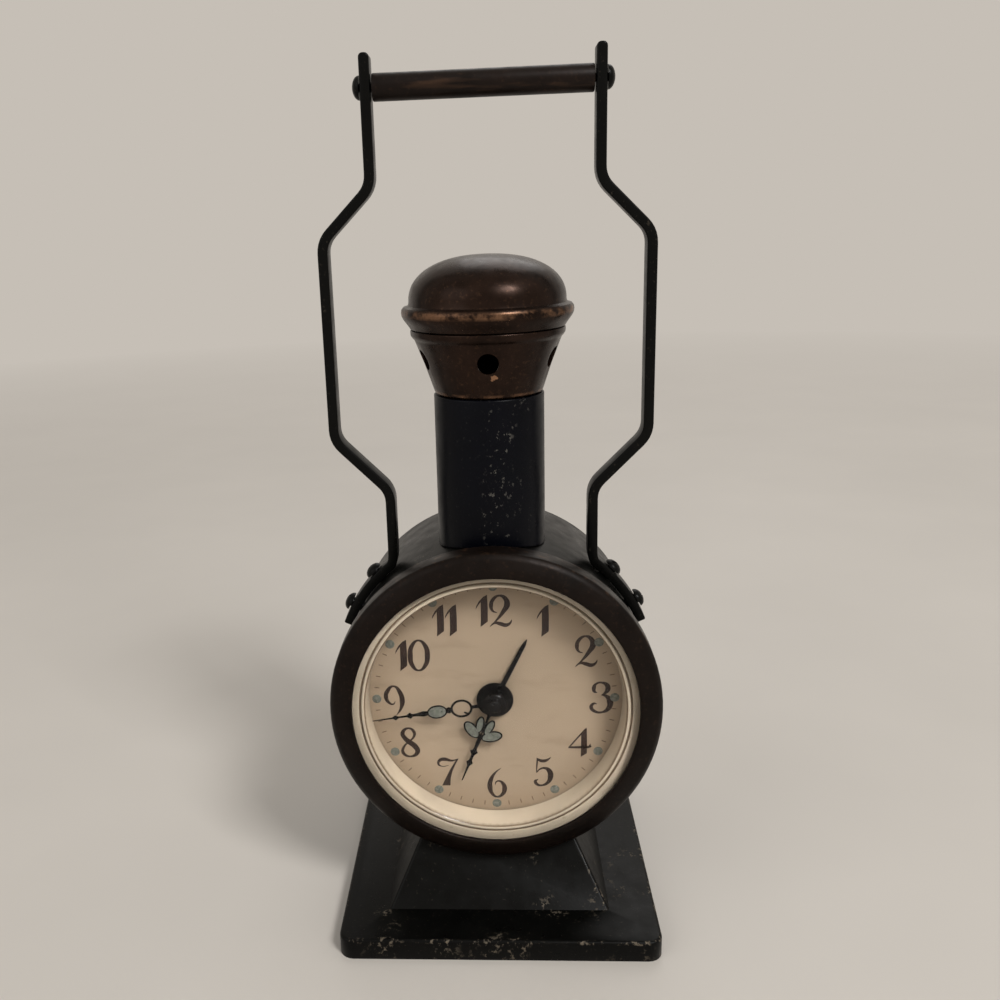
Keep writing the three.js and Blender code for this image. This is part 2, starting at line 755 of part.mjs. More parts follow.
// The strap's centre line as seen from the front: its corners, from the tip down
function strapCorners() {
  const inset = strapThickness / 2;
  const top = strapTopHalfSpan - inset;
  const middle = strapMiddleHalfSpan - inset;
  const low = strapLowHalfSpan - inset;
  return points([
    [top, strapTop],
    [top, strapUpperKink],
    [middle, strapUpperKink - (middle - top)],
    [middle, strapLowerKink + (middle - low)],
    [low, strapLowerKink],
  ]);
}

// The same line with its bends rounded, and the tail that lies on the drum
function strapCentreLine() {
  const tailRadius = drumRadius + gap + strapThickness / 2;
  const onDrum = (angle) =>
    new THREE.Vector2(tailRadius * Math.sin(angle), drumCentreHeight + tailRadius * Math.cos(angle));
  const corners = strapCorners();
  const footAngle = Math.asin(corners[corners.length - 1].x / tailRadius);
  const bendAngle = footAngle + strapBendRadius / tailRadius;
  corners.push(onDrum(footAngle), onDrum(bendAngle));
  const line = [corners[0]];
  for (let i = 1; i < corners.length - 1; i += 1) {
    const corner = corners[i];
    const before = corners[i - 1].clone().sub(corner).setLength(strapBendRadius).add(corner);
    const after = corners[i + 1].clone().sub(corner).setLength(strapBendRadius).add(corner);
    line.push(...new THREE.QuadraticBezierCurve(before, corner, after).getPoints(3));
  }
  const steps = 5;
  const tailEnd = degrees(strapTailAngle);
  for (let i = 1; i <= steps; i += 1)
    line.push(onDrum(bendAngle + ((tailEnd - bendAngle) * i) / steps));
  return line;
}

// One side of the bail, standing at +X: a flat strip bent along its centre line
function bailStrap() {
  const line = strapCentreLine();
  const outer = [];
  const inner = [];
  line.forEach((point, i) => {
    const before = line[Math.max(i - 1, 0)];
    const after = line[Math.min(i + 1, line.length - 1)];
    const along = after.clone().sub(before).normalize();
    const side = new THREE.Vector2(-along.y, along.x).multiplyScalar(strapThickness / 2);
    outer.push(point.clone().add(side));
    inner.unshift(point.clone().sub(side));
  });
  const shape = new THREE.Shape([...outer, ...inner]);
  return plateAlongY(shape, -strapWidth / 2, strapWidth / 2);
}

// What is cut away round the strap's half-round tip
function strapTipTool() {
  const radius = strapWidth / 2;
  const shape = new THREE.Shape();
  shape.moveTo(-strapWidth, strapTop - radius);
  shape.absarc(0, strapTop - radius, radius, Math.PI, 0, true);
  shape.lineTo(strapWidth, strapTop - radius);
  shape.lineTo(strapWidth, strapTop + overrun);
  shape.lineTo(-strapWidth, strapTop + overrun);
  const options = { depth: strapMiddleHalfSpan, bevelEnabled: false, curveSegments: 8 };
  const geometry = new THREE.ExtrudeGeometry(shape, options);
  return solid(geometry.rotateX(quarterTurn).rotateZ(quarterTurn));
}

// A round-headed screw or pin along +Z, whose head rests at height zero
function domedPin(headRadius, headHeight, shankRadius, shankLength) {
  const steps = 2;
  const profile = [[0, headHeight]];
  for (let i = 1; i <= steps; i += 1) {
    const angle = (quarterTurn * i) / steps;
    profile.push([headRadius * Math.sin(angle), headHeight * Math.cos(angle)]);
  }
  profile.push([shankRadius, 0], [shankRadius, -shankLength], [0, -shankLength]);
  return turnedAlongZ(profile, 8);
}

function buildBail() {
  const pinHole = rodAlongZ(gripPinRadius + gap, 0, strapMiddleHalfSpan, pivotFacets);
  const screwHoles = strapScrewAngles.map((angle) =>
    radialHole(strapScrewRadius + gap, angle).translate([0, 0, drumCentreHeight]),
  );
  const rightStrap = cutFrom(bailStrap(), [
    strapTipTool(),
    pinHole.rotate([0, 90, 0]).translate([0, 0, gripHeight]),
    ...screwHoles,
  ]);
  lamp.add(piece("bail_strap_right", rightStrap, blackPaint));
  lamp.add(piece("bail_strap_left", rightStrap.mirror([1, 0, 0]), blackPaint));

  const gripHalf = strapTopHalfSpan - strapThickness - gap;
  const boreFrom = gripHalf - gripPinDepth - gap;
  const bore = rodAlongZ(gripPinRadius + gap, boreFrom, gripHalf + overrun, pivotFacets);
  const rod = rodAlongZ(gripRadius, -gripHalf, gripHalf, lampFacets);
  const boredRod = cutFrom(rod, [bore, bore.mirror([0, 0, 1])]);
  const grip = piece("grip_rod", boredRod.rotate([0, 90, 0]), gripBrown);
  grip.position.z = gripHeight;
  lamp.add(grip);

  const pinLength = strapThickness + 2 * gap + gripPinDepth;
  const pin = domedPin(gripPinHeadRadius, gripPinHeadHeight, gripPinRadius, pinLength);
  const screwLength = strapThickness + 2 * gap + drumWall + strapScrewReach;
  const screw = domedPin(
    strapScrewHeadRadius,
    strapScrewHeadHeight,
    strapScrewRadius,
    screwLength,
  );
  const screwSeat = drumRadius + strapThickness + 2 * gap;
  for (const [side, word] of [
    [-1, "left"],
    [1, "right"],
  ]) {
    const gripPin = piece("grip_pin_" + word, pin.rotate([0, side * 90, 0]), blackPaint);
    gripPin.position.set(side * (strapTopHalfSpan + gap), 0, gripHeight);
    lamp.add(gripPin);
    strapScrewAngles.forEach((angle, i) => {
      const turned = screw.rotate([0, side * angle, 0]);
      const made = piece("strap_screw_" + word + "_" + (i + 1), turned, blackPaint);
      const lean = degrees(side * angle);
      const height = drumCentreHeight + screwSeat * Math.cos(lean);
      made.position.set(screwSeat * Math.sin(lean), 0, height);
      lamp.add(made);
    });
  }
}

function buildChimney() {
  const bottom = drumCentreHeight + Math.sqrt(drumRadius ** 2 - chimneyRadius ** 2) - overrun;
  const inside = chimneyRadius - chimneyWall;
  const tube = turnedAlongZ(
    [
      [chimneyRadius, bottom],
      [chimneyRadius, chimneyTop - chimneyRimRound],
      [chimneyRadius - chimneyRimRound, chimneyTop],
      [inside, chimneyTop],
      [inside, bottom],
    ],
    lampFacets,
  );
  const saddles = [
    drumTool(drumRadius + gap, -baseSide, baseSide),
    drumTool(bezelRadius + gap, -baseSide, bezelBack + gap - lampPlane),
  ];
  lamp.add(piece("chimney_tube", cutFrom(tube, saddles), navyPaint));

  // The cowl: a pierced cone with a floor, and a spigot that sits in the chimney
  const neck = chimneyTop + gap;
  const spigot = inside - gap;
  const stepRadius = cowlTopRadius + cowlStepWidth;
  const cone = turnedAlongZ(
    [
      [spigot, neck - cowlSpigotLength],
      [spigot, neck],
      [cowlNeckRadius, neck],
      [cowlTopRadius, cowlTop - cowlStepHeight],
      [stepRadius, cowlTop - cowlStepHeight],
      [stepRadius, cowlTop],
      [cowlTopRadius - cowlWall, cowlTop],
      [cowlNeckRadius - cowlWall, neck + cowlWall],
      [tieRodRadius + gap, neck + cowlWall],
      [tieRodRadius + gap, neck],
      [spigot - cowlWall, neck],
      [spigot - cowlWall, neck - cowlSpigotLength],
    ],
    lampFacets,
  );
  const holes = [];
  for (let i = 0; i < ventHoleCount; i += 1) {
    const hole = rodAlongY(ventHoleRadius, -cowlTopRadius - overrun, 0, pivotFacets);
    holes.push(hole.translate([0, 0, ventHoleHeight]).rotate([0, 0, (i * 360) / ventHoleCount]));
  }
  lamp.add(piece("vent_cowl", cutFrom(cone, holes), copperPaint));

  // The cap: a low hollow dome over a half-round bead that closes over the cowl's rim
    const beadRadius = capBeadThickness / 2;
  const beadCentre = capBeadRadius - beadRadius;
  const floorRadius = cowlTopRadius - cowlWall;
  const profile = [];
  for (let i = 0; i <= 5; i += 1) {
    const angle = (quarterTurn * i) / 5;
    profile.push([
      capDomeRadius * Math.sin(angle),
      capDomeBase + capDomeHeight * Math.cos(angle),
    ]);
  }
  for (let i = 0; i <= 4; i += 1) {
    const angle = quarterTurn - (Math.PI * i) / 4;
    profile.push([
      beadCentre + beadRadius * Math.cos(angle),
      capBeadHeight + beadRadius * Math.sin(angle),
    ]);
  }
  profile.push([floorRadius, cowlTop + gap]);
  for (let i = 2; i >= 0; i -= 1) {
    const angle = (quarterTurn * i) / 2;
    profile.push([
      floorRadius * Math.sin(angle),
      capDomeBase - capWall + capDomeHeight * Math.cos(angle),
    ]);
  }
  lamp.add(piece("cap_dome", turnedAlongZ(profile, lampFacets), copperPaint));

  // The rod that draws cowl and chimney down on the drum, with its head on the cowl's floor
  const headFrom = neck + cowlWall + gap;
  const rod = joined([
    rodAlongZ(tieRodRadius, drumCentreHeight + drumInside - tieRodReach, headFrom + gap, pivotFacets),
    rodAlongZ(tieRodHeadRadius, headFrom, headFrom + tieRodHeadThickness, pivotFacets),
  ]);
  lamp.add(piece("chimney_tie_rod", rod, steel));
  const nutTop = drumCentreHeight + Math.sqrt(drumInside ** 2 - tieRodHeadRadius ** 2) - gap / 2;
  const nutBody = hexNut(tieRodHeadRadius, tieRodHeadThickness, tieRodRadius + gap);
  const nut = piece("chimney_nut", nutBody, steel);
  nut.position.z = nutTop - tieRodHeadThickness;
  lamp.add(nut);
}

// A hand's flat solid, from its front face back
const flat = (shape) => plateAlongY(shape, 0, handThickness, 4);

// The two-sided outline of a blade, from shares of the hand's length: half width, distance
function blade(length, shares) {
  const right = shares.map(([half, along]) => [half * length, along * length]);
  const left = right.map(([x, z]) => [-x, z]).reverse();
  return flat(outline([...right, ...left]));
}

// A ring on the hand, from shares of its length: X, distance, half width, half length, stroke
function loop(length, [x, along, halfWidth, halfLength, stroke], turn = 0) {
  const centre = [x * length, along * length];
  const wide = halfWidth * length;
  const long = halfLength * length;
  const line = stroke * length;
  const ring = ellipseShape(...centre, wide, long, turn);
  ring.holes.push(ellipseShape(...centre, wide - line, long - line, turn));
  return flat(ring);
}

function loopOpening(length, [x, along, halfWidth, halfLength, stroke]) {
  const wide = (halfWidth - stroke / 2) * length;
  return flat(ellipseShape(x * length, along * length, wide, (halfLength - stroke / 2) * length, 0));
}

const minuteBladeShares = [
  [0.017, 0.1],
  [0.017, 0.24],
  [0.026, 0.43],
  [0.036, 0.45],
  [0.02, 0.47],
  [0.016, 0.58],
  [0.012, 0.66],
  [0.028, 0.69],
  [0.01, 0.72],
  [0.009, 0.79],
  [0.022, 0.81],
  [0.007, 0.84],
  [0.004, 1],
];
const minuteLoopShares = [
  [0, 0.335, 0.075, 0.082, 0.018],
  [0, 0.53, 0.055, 0.075, 0.016],
];
const hourBladeShares = [
  [0.024, 0.12],
  [0.02, 0.6],
  [0.018, 0.64],
  [0.045, 0.675],
  [0.016, 0.71],
  [0.015, 0.79],
  [0.04, 0.82],
  [0.012, 0.86],
  [0.006, 1],
];
const petalAngles = [-68, -24, 24, 68]; // from the line back to the boss
const petalLengthShares = [0.105, 0.13, 0.13, 0.105];
const petalHalfWidthShare = 0.058;
const petalStrokeShare = 0.018;
const petalRootShare = 0.55;
const alarmBladeShares = [
  [0.036, 0.16],
  [0.028, 0.96],
  [0.006, 1],
];

// Hands are drawn pointing up from their centre, then turned clockwise to their place.
function turnedHand(name, parts, bore, angle, face) {
  const hub = circleShape(handHubRadius);
  hub.holes.push(circleShape(bore));
  const centreHole = rodAlongY(bore, -overrun, overrun);
  const body = joined([...parts, flat(hub)]).subtract(centreHole);
  const hand = place(name, body, handBlack, centreAt, face);
  hand.rotation.y = degrees(angle);
}

function buildHands() {
  const openings = minuteLoopShares.map((shares) => loopOpening(minuteHandLength, shares));
  const minuteParts = [
    cutFrom(blade(minuteHandLength, minuteBladeShares), openings),
    ...minuteLoopShares.map((shares) => loop(minuteHandLength, shares)),
  ];
  turnedHand("minute_hand", minuteParts, arborRadius + gap, minuteHandAngle, minuteHandFace);

  const petals = petalAngles.map((angle, i) => {
    const lean = degrees(angle);
    const long = petalLengthShares[i];
    const x = long * Math.sin(lean);
    const along = petalRootShare - long * Math.cos(lean);
    const shares = [x, along, petalHalfWidthShare, long, petalStrokeShare];
    return loop(hourHandLength, shares, lean);
  });
  const hourParts = [blade(hourHandLength, hourBladeShares), ...petals];
  turnedHand("hour_hand", hourParts, hourPipeRadius + gap, hourHandAngle, hourHandFace);

  const alarmParts = [blade(alarmHandLength, alarmBladeShares)];
  turnedHand("alarm_hand", alarmParts, alarmPipeRadius + gap, alarmHandAngle, alarmHandFace);

  const profile = [];
  for (let i = 0; i <= 3; i += 1) {
    const angle = (quarterTurn * i) / 3;
    profile.push([bossRadius * Math.sin(angle), -bossHeight * Math.cos(angle)]);
  }
  profile.push([0, 0]);
  place("hand_boss", turnedAlongY(profile, 24), handBlack, centreAt, minuteHandFace - gap);
}

// A wheel's arbor, with shoulders between the plates and a pivot in each
function trainArbor(radius, pivot) {
  return joined([
    rodAlongY(radius, frontPlateBack + gap, rearPlateFront - gap, pinFacets),
    rodAlongY(pivot, frontPlateFace, rearPlateBack, pinFacets),
  ]);
}

// Levels of the motion work, from the front plate forwards
const cannonLevel = frontPlateFace - gap - wheelThickness;
const hourLevel = cannonLevel - gap - wheelThickness;
const alarmLevel = hourLevel - 2 * gap - wheelThickness;

// Levels of the time train, from the front plate back
const centreLevel = frontPlateBack + wheelSpacing;
const thirdLevel = centreLevel + wheelThickness + wheelSpacing;
const fourthLevel = thirdLevel + wheelThickness + wheelSpacing;
const greatLevel = fourthLevel + wheelThickness + 2 * gap;
const escapeLevel = greatLevel + wheelThickness;
const palletPinEnd = escapeLevel + wheelThickness + anchorRise;
const balanceLevel = palletPinEnd + wheelThickness / 2 + balanceRise;

function buildPlates() {
  const through = (radius, [x, z], facets = pinFacets) =>
    rodAlongY(radius, frontPlateFace - overrun, coverFace + overrun, facets).translate(x, 0, z);
  const holes = [
    ...[thirdAt, fourthAt, escapeAt, palletAt, balanceAt, starAt].map((at) =>
      through(pivotRadius + gap, at),
    ),
    ...[centreAt, greatAt, alarmBarrelAt, alarmSetAt, hammerAt].map((at) =>
      through(arborRadius + gap, at),
    ),
    ...pillarPlaces.map((at) => through(pillarNeckRadius + gap, at, pivotFacets)),
  ];
  const footHoles = dialFootPlaces.map((at) => through(dialFootRadius + gap, at));
  const frontDisc = rodAlongY(plateRadius, frontPlateFace, frontPlateBack, lampFacets);
  const rearDisc = rodAlongY(plateRadius, rearPlateFront, rearPlateBack, lampFacets);
  const studFront = alarmLevel + wheelThickness + gap;
  const stud = rodAlongY(pivotRadius, studFront, frontPlateBack, pivotFacets);
  const frontPlate = joined([
    cutFrom(frontDisc, [...holes, ...footHoles]),
    stud.translate(minuteWheelAt[0], 0, minuteWheelAt[1]),
  ]);
  place("front_plate", frontPlate, brass, centreAt);
  place("rear_plate", cutFrom(rearDisc, holes), brass, centreAt);

  const neckEnd = coverInside - gap;
  const tapFrom = neckEnd - coverScrewDepth - gap;
  const pillar = joined([
    rodAlongY(pillarRadius, frontPlateBack + gap, rearPlateFront - gap, pivotFacets),
    rodAlongY(pillarNeckRadius, frontPlateFace, neckEnd, pivotFacets),
  ]).subtract(rodAlongY(coverScrewRadius + gap, tapFrom, neckEnd + overrun, pivotFacets));
  const screwLength = coverThickness + 2 * gap + coverScrewDepth;
  const screw = domedPin(
    coverScrewHeadRadius,
    coverScrewHeadHeight,
    coverScrewRadius,
    screwLength,
  ).rotate([-90, 0, 0]);
  pillarPlaces.forEach((at, i) => {
    place("plate_pillar_" + (i + 1), pillar, steel, at);
    place("rear_cover_screw_" + (i + 1), screw, steel, at, coverFace + gap);
  });
}

function buildMotionWork() {
  const cannonPinion = [cannonTeeth, minuteModule, cannonLevel, cannonLevel + wheelThickness];
  const centreArbor = joined([
    rodAlongY(arborRadius, minuteHandFace + gap / 2, centreArborRear, pivotFacets),
    pinion(...cannonPinion, 0),
  ]);
  place("centre_arbor", centreArbor, steel, centreAt);

  const minuteFirst = inMesh(cannonTeeth, 0, minuteTeeth, minuteWheelDirection);
  const minuteWheel = joined([
    wheel(minuteTeeth, minuteModule, cannonLevel, minuteFirst),
    pinion(minutePinionTeeth, hourModule, hourLevel, cannonLevel + gap, 0),
  ]).subtract(rodAlongY(pivotRadius + gap, alarmLevel, frontPlateBack, pivotFacets));
  place("minute_wheel", minuteWheel, brass, minuteWheelAt);

  const towardsCentre = minuteWheelDirection + Math.PI;
  const hourFirst = inMesh(minutePinionTeeth, 0, hourTeeth, towardsCentre);
  const hourWheel = joined([
    wheel(hourTeeth, hourModule, hourLevel, hourFirst),
    rodAlongY(hourPipeRadius, hourHandFace, hourLevel + wheelThickness),
  ]).subtract(rodAlongY(arborRadius + gap, hourHandFace - overrun, frontPlateBack));
  place("hour_wheel", hourWheel, brass, centreAt);

  const alarmWheel = joined([
    wheel(alarmWheelTeeth, alarmSetModule, alarmLevel, 0),
    rodAlongY(alarmPipeRadius, alarmHandFace, alarmLevel + wheelThickness),
  ]).subtract(rodAlongY(hourPipeRadius + gap, alarmHandFace - overrun, frontPlateBack));
  place("alarm_wheel", alarmWheel, brass, centreAt);

  const setFirst = inMesh(alarmWheelTeeth, 0, alarmSetTeeth, alarmSetDirection);
  const alarmSetArbor = joined([
    rodAlongY(arborRadius, alarmLevel, centreArborRear, pivotFacets),
    pinion(alarmSetTeeth, alarmSetModule, alarmLevel, alarmLevel + wheelThickness, setFirst),
  ]);
  place("alarm_setting_arbor", alarmSetArbor, steel, alarmSetAt);
}

// A spring barrel: a toothed wheel with its drum behind, free on the winding arbor
function barrel(teeth, module, firstTooth) {
  const radius = rootRadius(teeth, module) - barrelWallInset;
  const shell = joined([
    wheel(teeth, module, greatLevel, firstTooth),
    rodAlongY(radius, greatLevel, rearPlateFront - gap, 16),
  ]);
  return shell.subtract(rodAlongY(arborRadius + gap, greatLevel - overrun, coverFace));
}

// An anchor's two pins, either side of a ratchet wheel's teeth, and the arms that carry them
function anchor(distance, halfSpan, wheelRadius, towardsWheel, pinRadius, wheelLevel) {
  const pinEnd = wheelLevel + wheelThickness + anchorRise;
  const wheelAt = polar(distance, towardsWheel);
  const pinCircle = wheelRadius + pinStandoffShare * pinRadius;
  const pins = [-1, 1].map((side) =>
    away(wheelAt, pinCircle, towardsWheel + Math.PI + side * halfSpan),
  );
  const arms = outline([
    pins[0],
    [0, 0],
    pins[1],
    polar(anchorHeelRadius, towardsWheel + Math.PI),
  ]);
  return joined([
    ...pins.map(([x, z]) =>
      rodAlongY(pinRadius, wheelLevel - gap, pinEnd, pinFacets).translate(x, 0, z),
    ),
    plateAlongY(arms, pinEnd - wheelThickness / 2, pinEnd + wheelThickness / 2),
  ]);
}

// A train wheel: its arbor, the pinion in the wheel before it, and its own wheel
function trainWheel(radius, pinionModule, pinionFirst, pinionLevel, ownWheel) {
  const from = pinionLevel - pinionOverlap;
  const to = pinionLevel + wheelThickness + pinionOverlap;
  return joined([
    trainArbor(radius, Math.min(radius, pivotRadius)),
    pinion(trainPinionTeeth, pinionModule, from, to, pinionFirst),
    ownWheel,
  ]);
}

function buildTimeTrain() {
  const greatFirst = inMesh(centrePinionTeeth, 0, greatTeeth, greatDirection);
  place("time_barrel", barrel(greatTeeth, greatModule, greatFirst), brass, greatAt);
  const windingArbor = rodAlongY(arborRadius, frontPlateFace, windingArborRear, pivotFacets);
  place("time_winding_arbor", windingArbor, steel, greatAt);

  const sleeve = rodAlongY(arborRadius + gap + centreBoss, centreLevel, greatLevel);
  const centrePinionTo = greatLevel + greatPinionLength;
  const centreWheel = joined([
    wheel(centreTeeth, centreModule, centreLevel, 0),
    sleeve,
    pinion(centrePinionTeeth, greatModule, greatLevel - pinionOverlap, centrePinionTo, 0),
  ]).subtract(rodAlongY(arborRadius + gap, frontPlateFace, rearPlateBack));
  place("centre_wheel", centreWheel, brass, centreAt);

  const thirdFirst = inMesh(centreTeeth, 0, trainPinionTeeth, thirdDirection);
  const thirdOwn = wheel(thirdTeeth, thirdModule, thirdLevel, 0);
  const third = trainWheel(arborRadius, centreModule, thirdFirst, centreLevel, thirdOwn);
  place("third_wheel", third, brass, thirdAt);

  const fourthFirst = inMesh(thirdTeeth, 0, trainPinionTeeth, fourthDirection);
  const fourthOwn = wheel(fourthTeeth, fourthModule, fourthLevel, 0);
  const fourth = trainWheel(pivotRadius, thirdModule, fourthFirst, thirdLevel, fourthOwn);
  place("fourth_wheel", fourth, brass, fourthAt);

  const escapeFirst = inMesh(fourthTeeth, 0, trainPinionTeeth, escapeDirection);
  const toothFirst = palletDirection + palletHalfSpan + fullTurn / escapeTeeth / 4;
  const escapeOwn = ratchetWheel(escapeTeeth, escapeRadius, escapeLevel, toothFirst);
  const escape = trainWheel(escapePivotRadius, fourthModule, escapeFirst, fourthLevel, escapeOwn);
  place("escape_wheel", escape, brass, escapeAt);
}

function buildEscapement() {
  const forkReach = balanceDistance - balancePinReach - balancePinRadius - forkGap;
  const fork = plateAlongY(
    barShape(forkWidth, 0, forkReach, balanceDirection),
    palletPinEnd - wheelThickness / 2,
    palletPinEnd + wheelThickness / 2,
  );
  const towardsEscape = palletDirection + Math.PI;
  const pallet = joined([
    trainArbor(pivotRadius, pivotRadius),
    anchor(
      palletDistance,
      palletHalfSpan,
      escapeRadius,
      towardsEscape,
      palletPinRadius,
      escapeLevel,
    ),
    fork,
  ]);
  place("pallet_lever", pallet, steel, palletAt);

  const rim = circleShape(balanceRadius);
  rim.holes.push(circleShape(balanceRadius - balanceRimWidth));
  const balanceTo = balanceLevel + wheelThickness;
  const spokeReach = balanceRadius - balanceRimWidth / 2;
  const spokes = [0, 1, 2].map((i) =>
    plateAlongY(
      barShape(balanceSpokeWidth, 0, spokeReach, (i * fullTurn) / 3),
      balanceLevel,
      balanceTo,
    ),
  );
  const [pinX, pinZ] = polar(balancePinReach, balanceDirection + Math.PI);
  const pin = rodAlongY(balancePinRadius, palletPinEnd, balanceTo, pinFacets);
  const roller = rodAlongY(balancePinReach + balancePinRadius, balanceLevel, balanceTo, pivotFacets);
  const balance = joined([
    trainArbor(pivotRadius, pivotRadius),
    plateAlongY(rim, balanceLevel, balanceTo, 6),
    pin.translate(pinX, 0, pinZ),
    roller,
    ...spokes,
  ]);
  place("balance_wheel", balance, brass, balanceAt);
}

function buildAlarm() {
  place("alarm_barrel", barrel(alarmGreatTeeth, alarmGreatModule, 0), brass, alarmBarrelAt);
  const windingArbor = rodAlongY(arborRadius, frontPlateFace, windingArborRear, pivotFacets);
  place("alarm_winding_arbor", windingArbor, steel, alarmBarrelAt);

  const pinionFirst = inMesh(alarmGreatTeeth, 0, trainPinionTeeth, starDirection);
  const starFirst = hammerDirection + hammerHalfSpan + fullTurn / starTeeth / 4;
  const star = trainWheel(
    arborRadius,
    alarmGreatModule,
    pinionFirst,
    greatLevel,
    ratchetWheel(starTeeth, starRadius, fourthLevel, starFirst),
  );
  place("alarm_star_wheel", star, brass, starAt);

  const hammerFrom = rearPlateBack + hammerRise;
  const hammerTo = hammerFrom + wheelThickness;
  const arm = barShape(hammerArmWidth, 0, hammerArmLength, hammerArmDirection);
  const [headX, headZ] = polar(hammerArmLength, hammerArmDirection);
  const towardsStar = hammerDirection + Math.PI;
  const hammer = joined([
    rodAlongY(arborRadius, frontPlateFace, hammerTo, pivotFacets),
    anchor(hammerDistance, hammerHalfSpan, starRadius, towardsStar, hammerPinRadius, fourthLevel),
    plateAlongY(arm, hammerFrom, hammerTo),
    rodAlongY(hammerHeadRadius, hammerFrom, hammerFrom + hammerHeadLength).translate(
      headX,
      0,
      headZ,
    ),
  ]);
  place("alarm_hammer", hammer, steel, hammerAt);
}

// Wing shares: half span across, wing height along, on one side of the key
const wingShares = [
  [0.13, 0],
  [0.75, 0.07],
  [0.94, 0.22],
  [1, 0.55],
  [0.93, 0.85],
  [0.72, 1],
  [0.4, 0.93],
  [0.14, 0.68],
];

function windingKey() {
  const wingFrom = keyHubLength - keyWingSink;
  const right = wingShares.map(([across, along]) => [
    (across * keyWingSpan) / 2,
    wingFrom + along * keyWingHeight,
  ]);
  const left = right.map(([x, y]) => [-x, y]).reverse();
  const options = { depth: keyThickness, bevelEnabled: false };
  const wings = new THREE.ExtrudeGeometry(outline([...right, ...left]), options);
  const hub = rodAlongY(keyHubRadius, 0, keyHubLength, 20);
  const body = joined([hub, solid(wings.translate(0, 0, -keyThickness / 2))]);
  return body.subtract(rodAlongY(arborRadius + gap, -overrun, keyHubLength - keyHubFloor + gap, 12));
}

function knob(radius) {
  const list = [];
  const pitch = fullTurn / knobFluteCount;
  for (let i = 0; i < knobFluteCount; i += 1) {
    list.push(polar(radius, (i - 0.3) * pitch));
    list.push(polar(radius, (i + 0.3) * pitch));
    list.push(polar(radius - knobFluteDepth, (i + 0.5) * pitch));
  }
  const body = plateAlongY(outline(list), 0, knobLength);
  const boreEnd = centreArborRear - controlFront + gap;
  return body.subtract(rodAlongY(arborRadius + gap, -overrun, boreEnd, 12));
}

function buildCover() {
  const through = (radius, [x, z]) =>
    rodAlongY(radius, coverInside - overrun, coverFace + overrun, pivotFacets).translate(x, 0, z);
  const holes = [
    ...[centreAt, greatAt, alarmBarrelAt, alarmSetAt].map((at) =>
      through(arborRadius + 2 * gap, at),
    ),
    ...pillarPlaces.map((at) => through(coverScrewRadius + gap, at)),
    through(stopPinRadius + gap, stopAt),
  ];

  // Slot for the regulator's tab, round the balance's axis
  const slotHalfWidth = regulatorWidth / 2 + gap;
  const slotInner = regulatorReach - slotHalfWidth;
  const slotOuter = regulatorReach + slotHalfWidth;
  const slotHalf = degrees(regulatorRange) + slotHalfWidth / slotInner;
  const slot = new THREE.Shape();
  slot.absarc(0, 0, slotOuter, regulatorDirection - slotHalf, regulatorDirection + slotHalf);
  slot.absarc(0, 0, slotInner, regulatorDirection + slotHalf, regulatorDirection - slotHalf, true);
  const slotTool = plateAlongY(slot, coverInside - overrun, coverFace + overrun, 6);
  holes.push(slotTool.translate(balanceAt[0], 0, balanceAt[1]));

  // The hammer strikes a post that stands on the cover, past its travel
  const headAt = away(hammerAt, hammerArmLength, hammerArmDirection);
  const postDistance = hammerHeadRadius + hammerTravel + bellPostRadius;
  const [postX, postZ] = away(headAt, postDistance, hammerArmDirection + quarterTurn);
  const post = rodAlongY(bellPostRadius, rearPlateBack + hammerRise, coverInside + gap, pivotFacets);
  const disc = rodAlongY(drumInside - gap, coverInside, coverFace, drumFacets);
  const cover = joined([cutFrom(disc, holes), post.translate(postX, 0, postZ)]);
  place("rear_cover", cover, brass, centreAt);
}

function buildControls() {
  for (const [name, at, turn] of [
    ["time_winding_key", greatAt, 20],
    ["alarm_winding_key", alarmBarrelAt, -15],
  ]) {
    const key = place(name, windingKey(), brass, at, controlFront);
    key.rotation.y = degrees(turn);
  }
  place("time_setting_knob", knob(setKnobRadius), brass, centreAt, controlFront);
  place("alarm_setting_knob", knob(alarmKnobRadius), brass, alarmSetAt, controlFront);

  const armFrom = rearPlateBack + gap;
  const armTo = armFrom + regulatorThickness;
  const [tabX, tabZ] = polar(regulatorReach, regulatorDirection);
  const tab = rodAlongY(regulatorWidth / 2, armFrom, coverFace + regulatorTabReach, 12);
  const regulator = joined([
    rodAlongY(regulatorCollarRadius, armFrom, armTo),
    plateAlongY(barShape(regulatorWidth, 0, regulatorReach, regulatorDirection), armFrom, armTo),
    tab.translate(tabX, 0, tabZ),
  ]).subtract(rodAlongY(pivotRadius + gap, armFrom - overrun, armTo + overrun, pivotFacets));
  place("regulator_lever", regulator, steel, balanceAt);

  const buttonFrom = coverFace + stopTravel + gap;
  const stop = joined([
    rodAlongY(stopPinRadius, rearPlateBack + gap + stopTravel, buttonFrom + gap, pivotFacets),
    rodAlongY(stopButtonRadius, buttonFrom, buttonFrom + stopButtonLength),
  ]);
  place("alarm_stop_button", stop, brass, stopAt);
}

buildBase();
buildDrum();
buildGlassAndDial();
buildChimney();
buildBail();
buildHands();
buildPlates();
buildMotionWork();
buildTimeTrain();
buildEscapement();
buildAlarm();
buildCover();
buildControls();

export default clock;
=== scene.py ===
"""Finish for a wind-up alarm clock in the form of a railway signal lamp.

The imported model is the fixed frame. Its outer pieces are replaced by finished ones,
the dial is printed, each piece gets its material, and floor, lamps and camera are set.
Profiles, tables, radii and depths are in millimetres, and points, directions and
properties are in metres.
"""

import math
from functools import cache, partial

import bmesh
import bpy
from bpy.props import FloatProperty, FloatVectorProperty, IntProperty, PointerProperty
from mathutils import Matrix, Vector


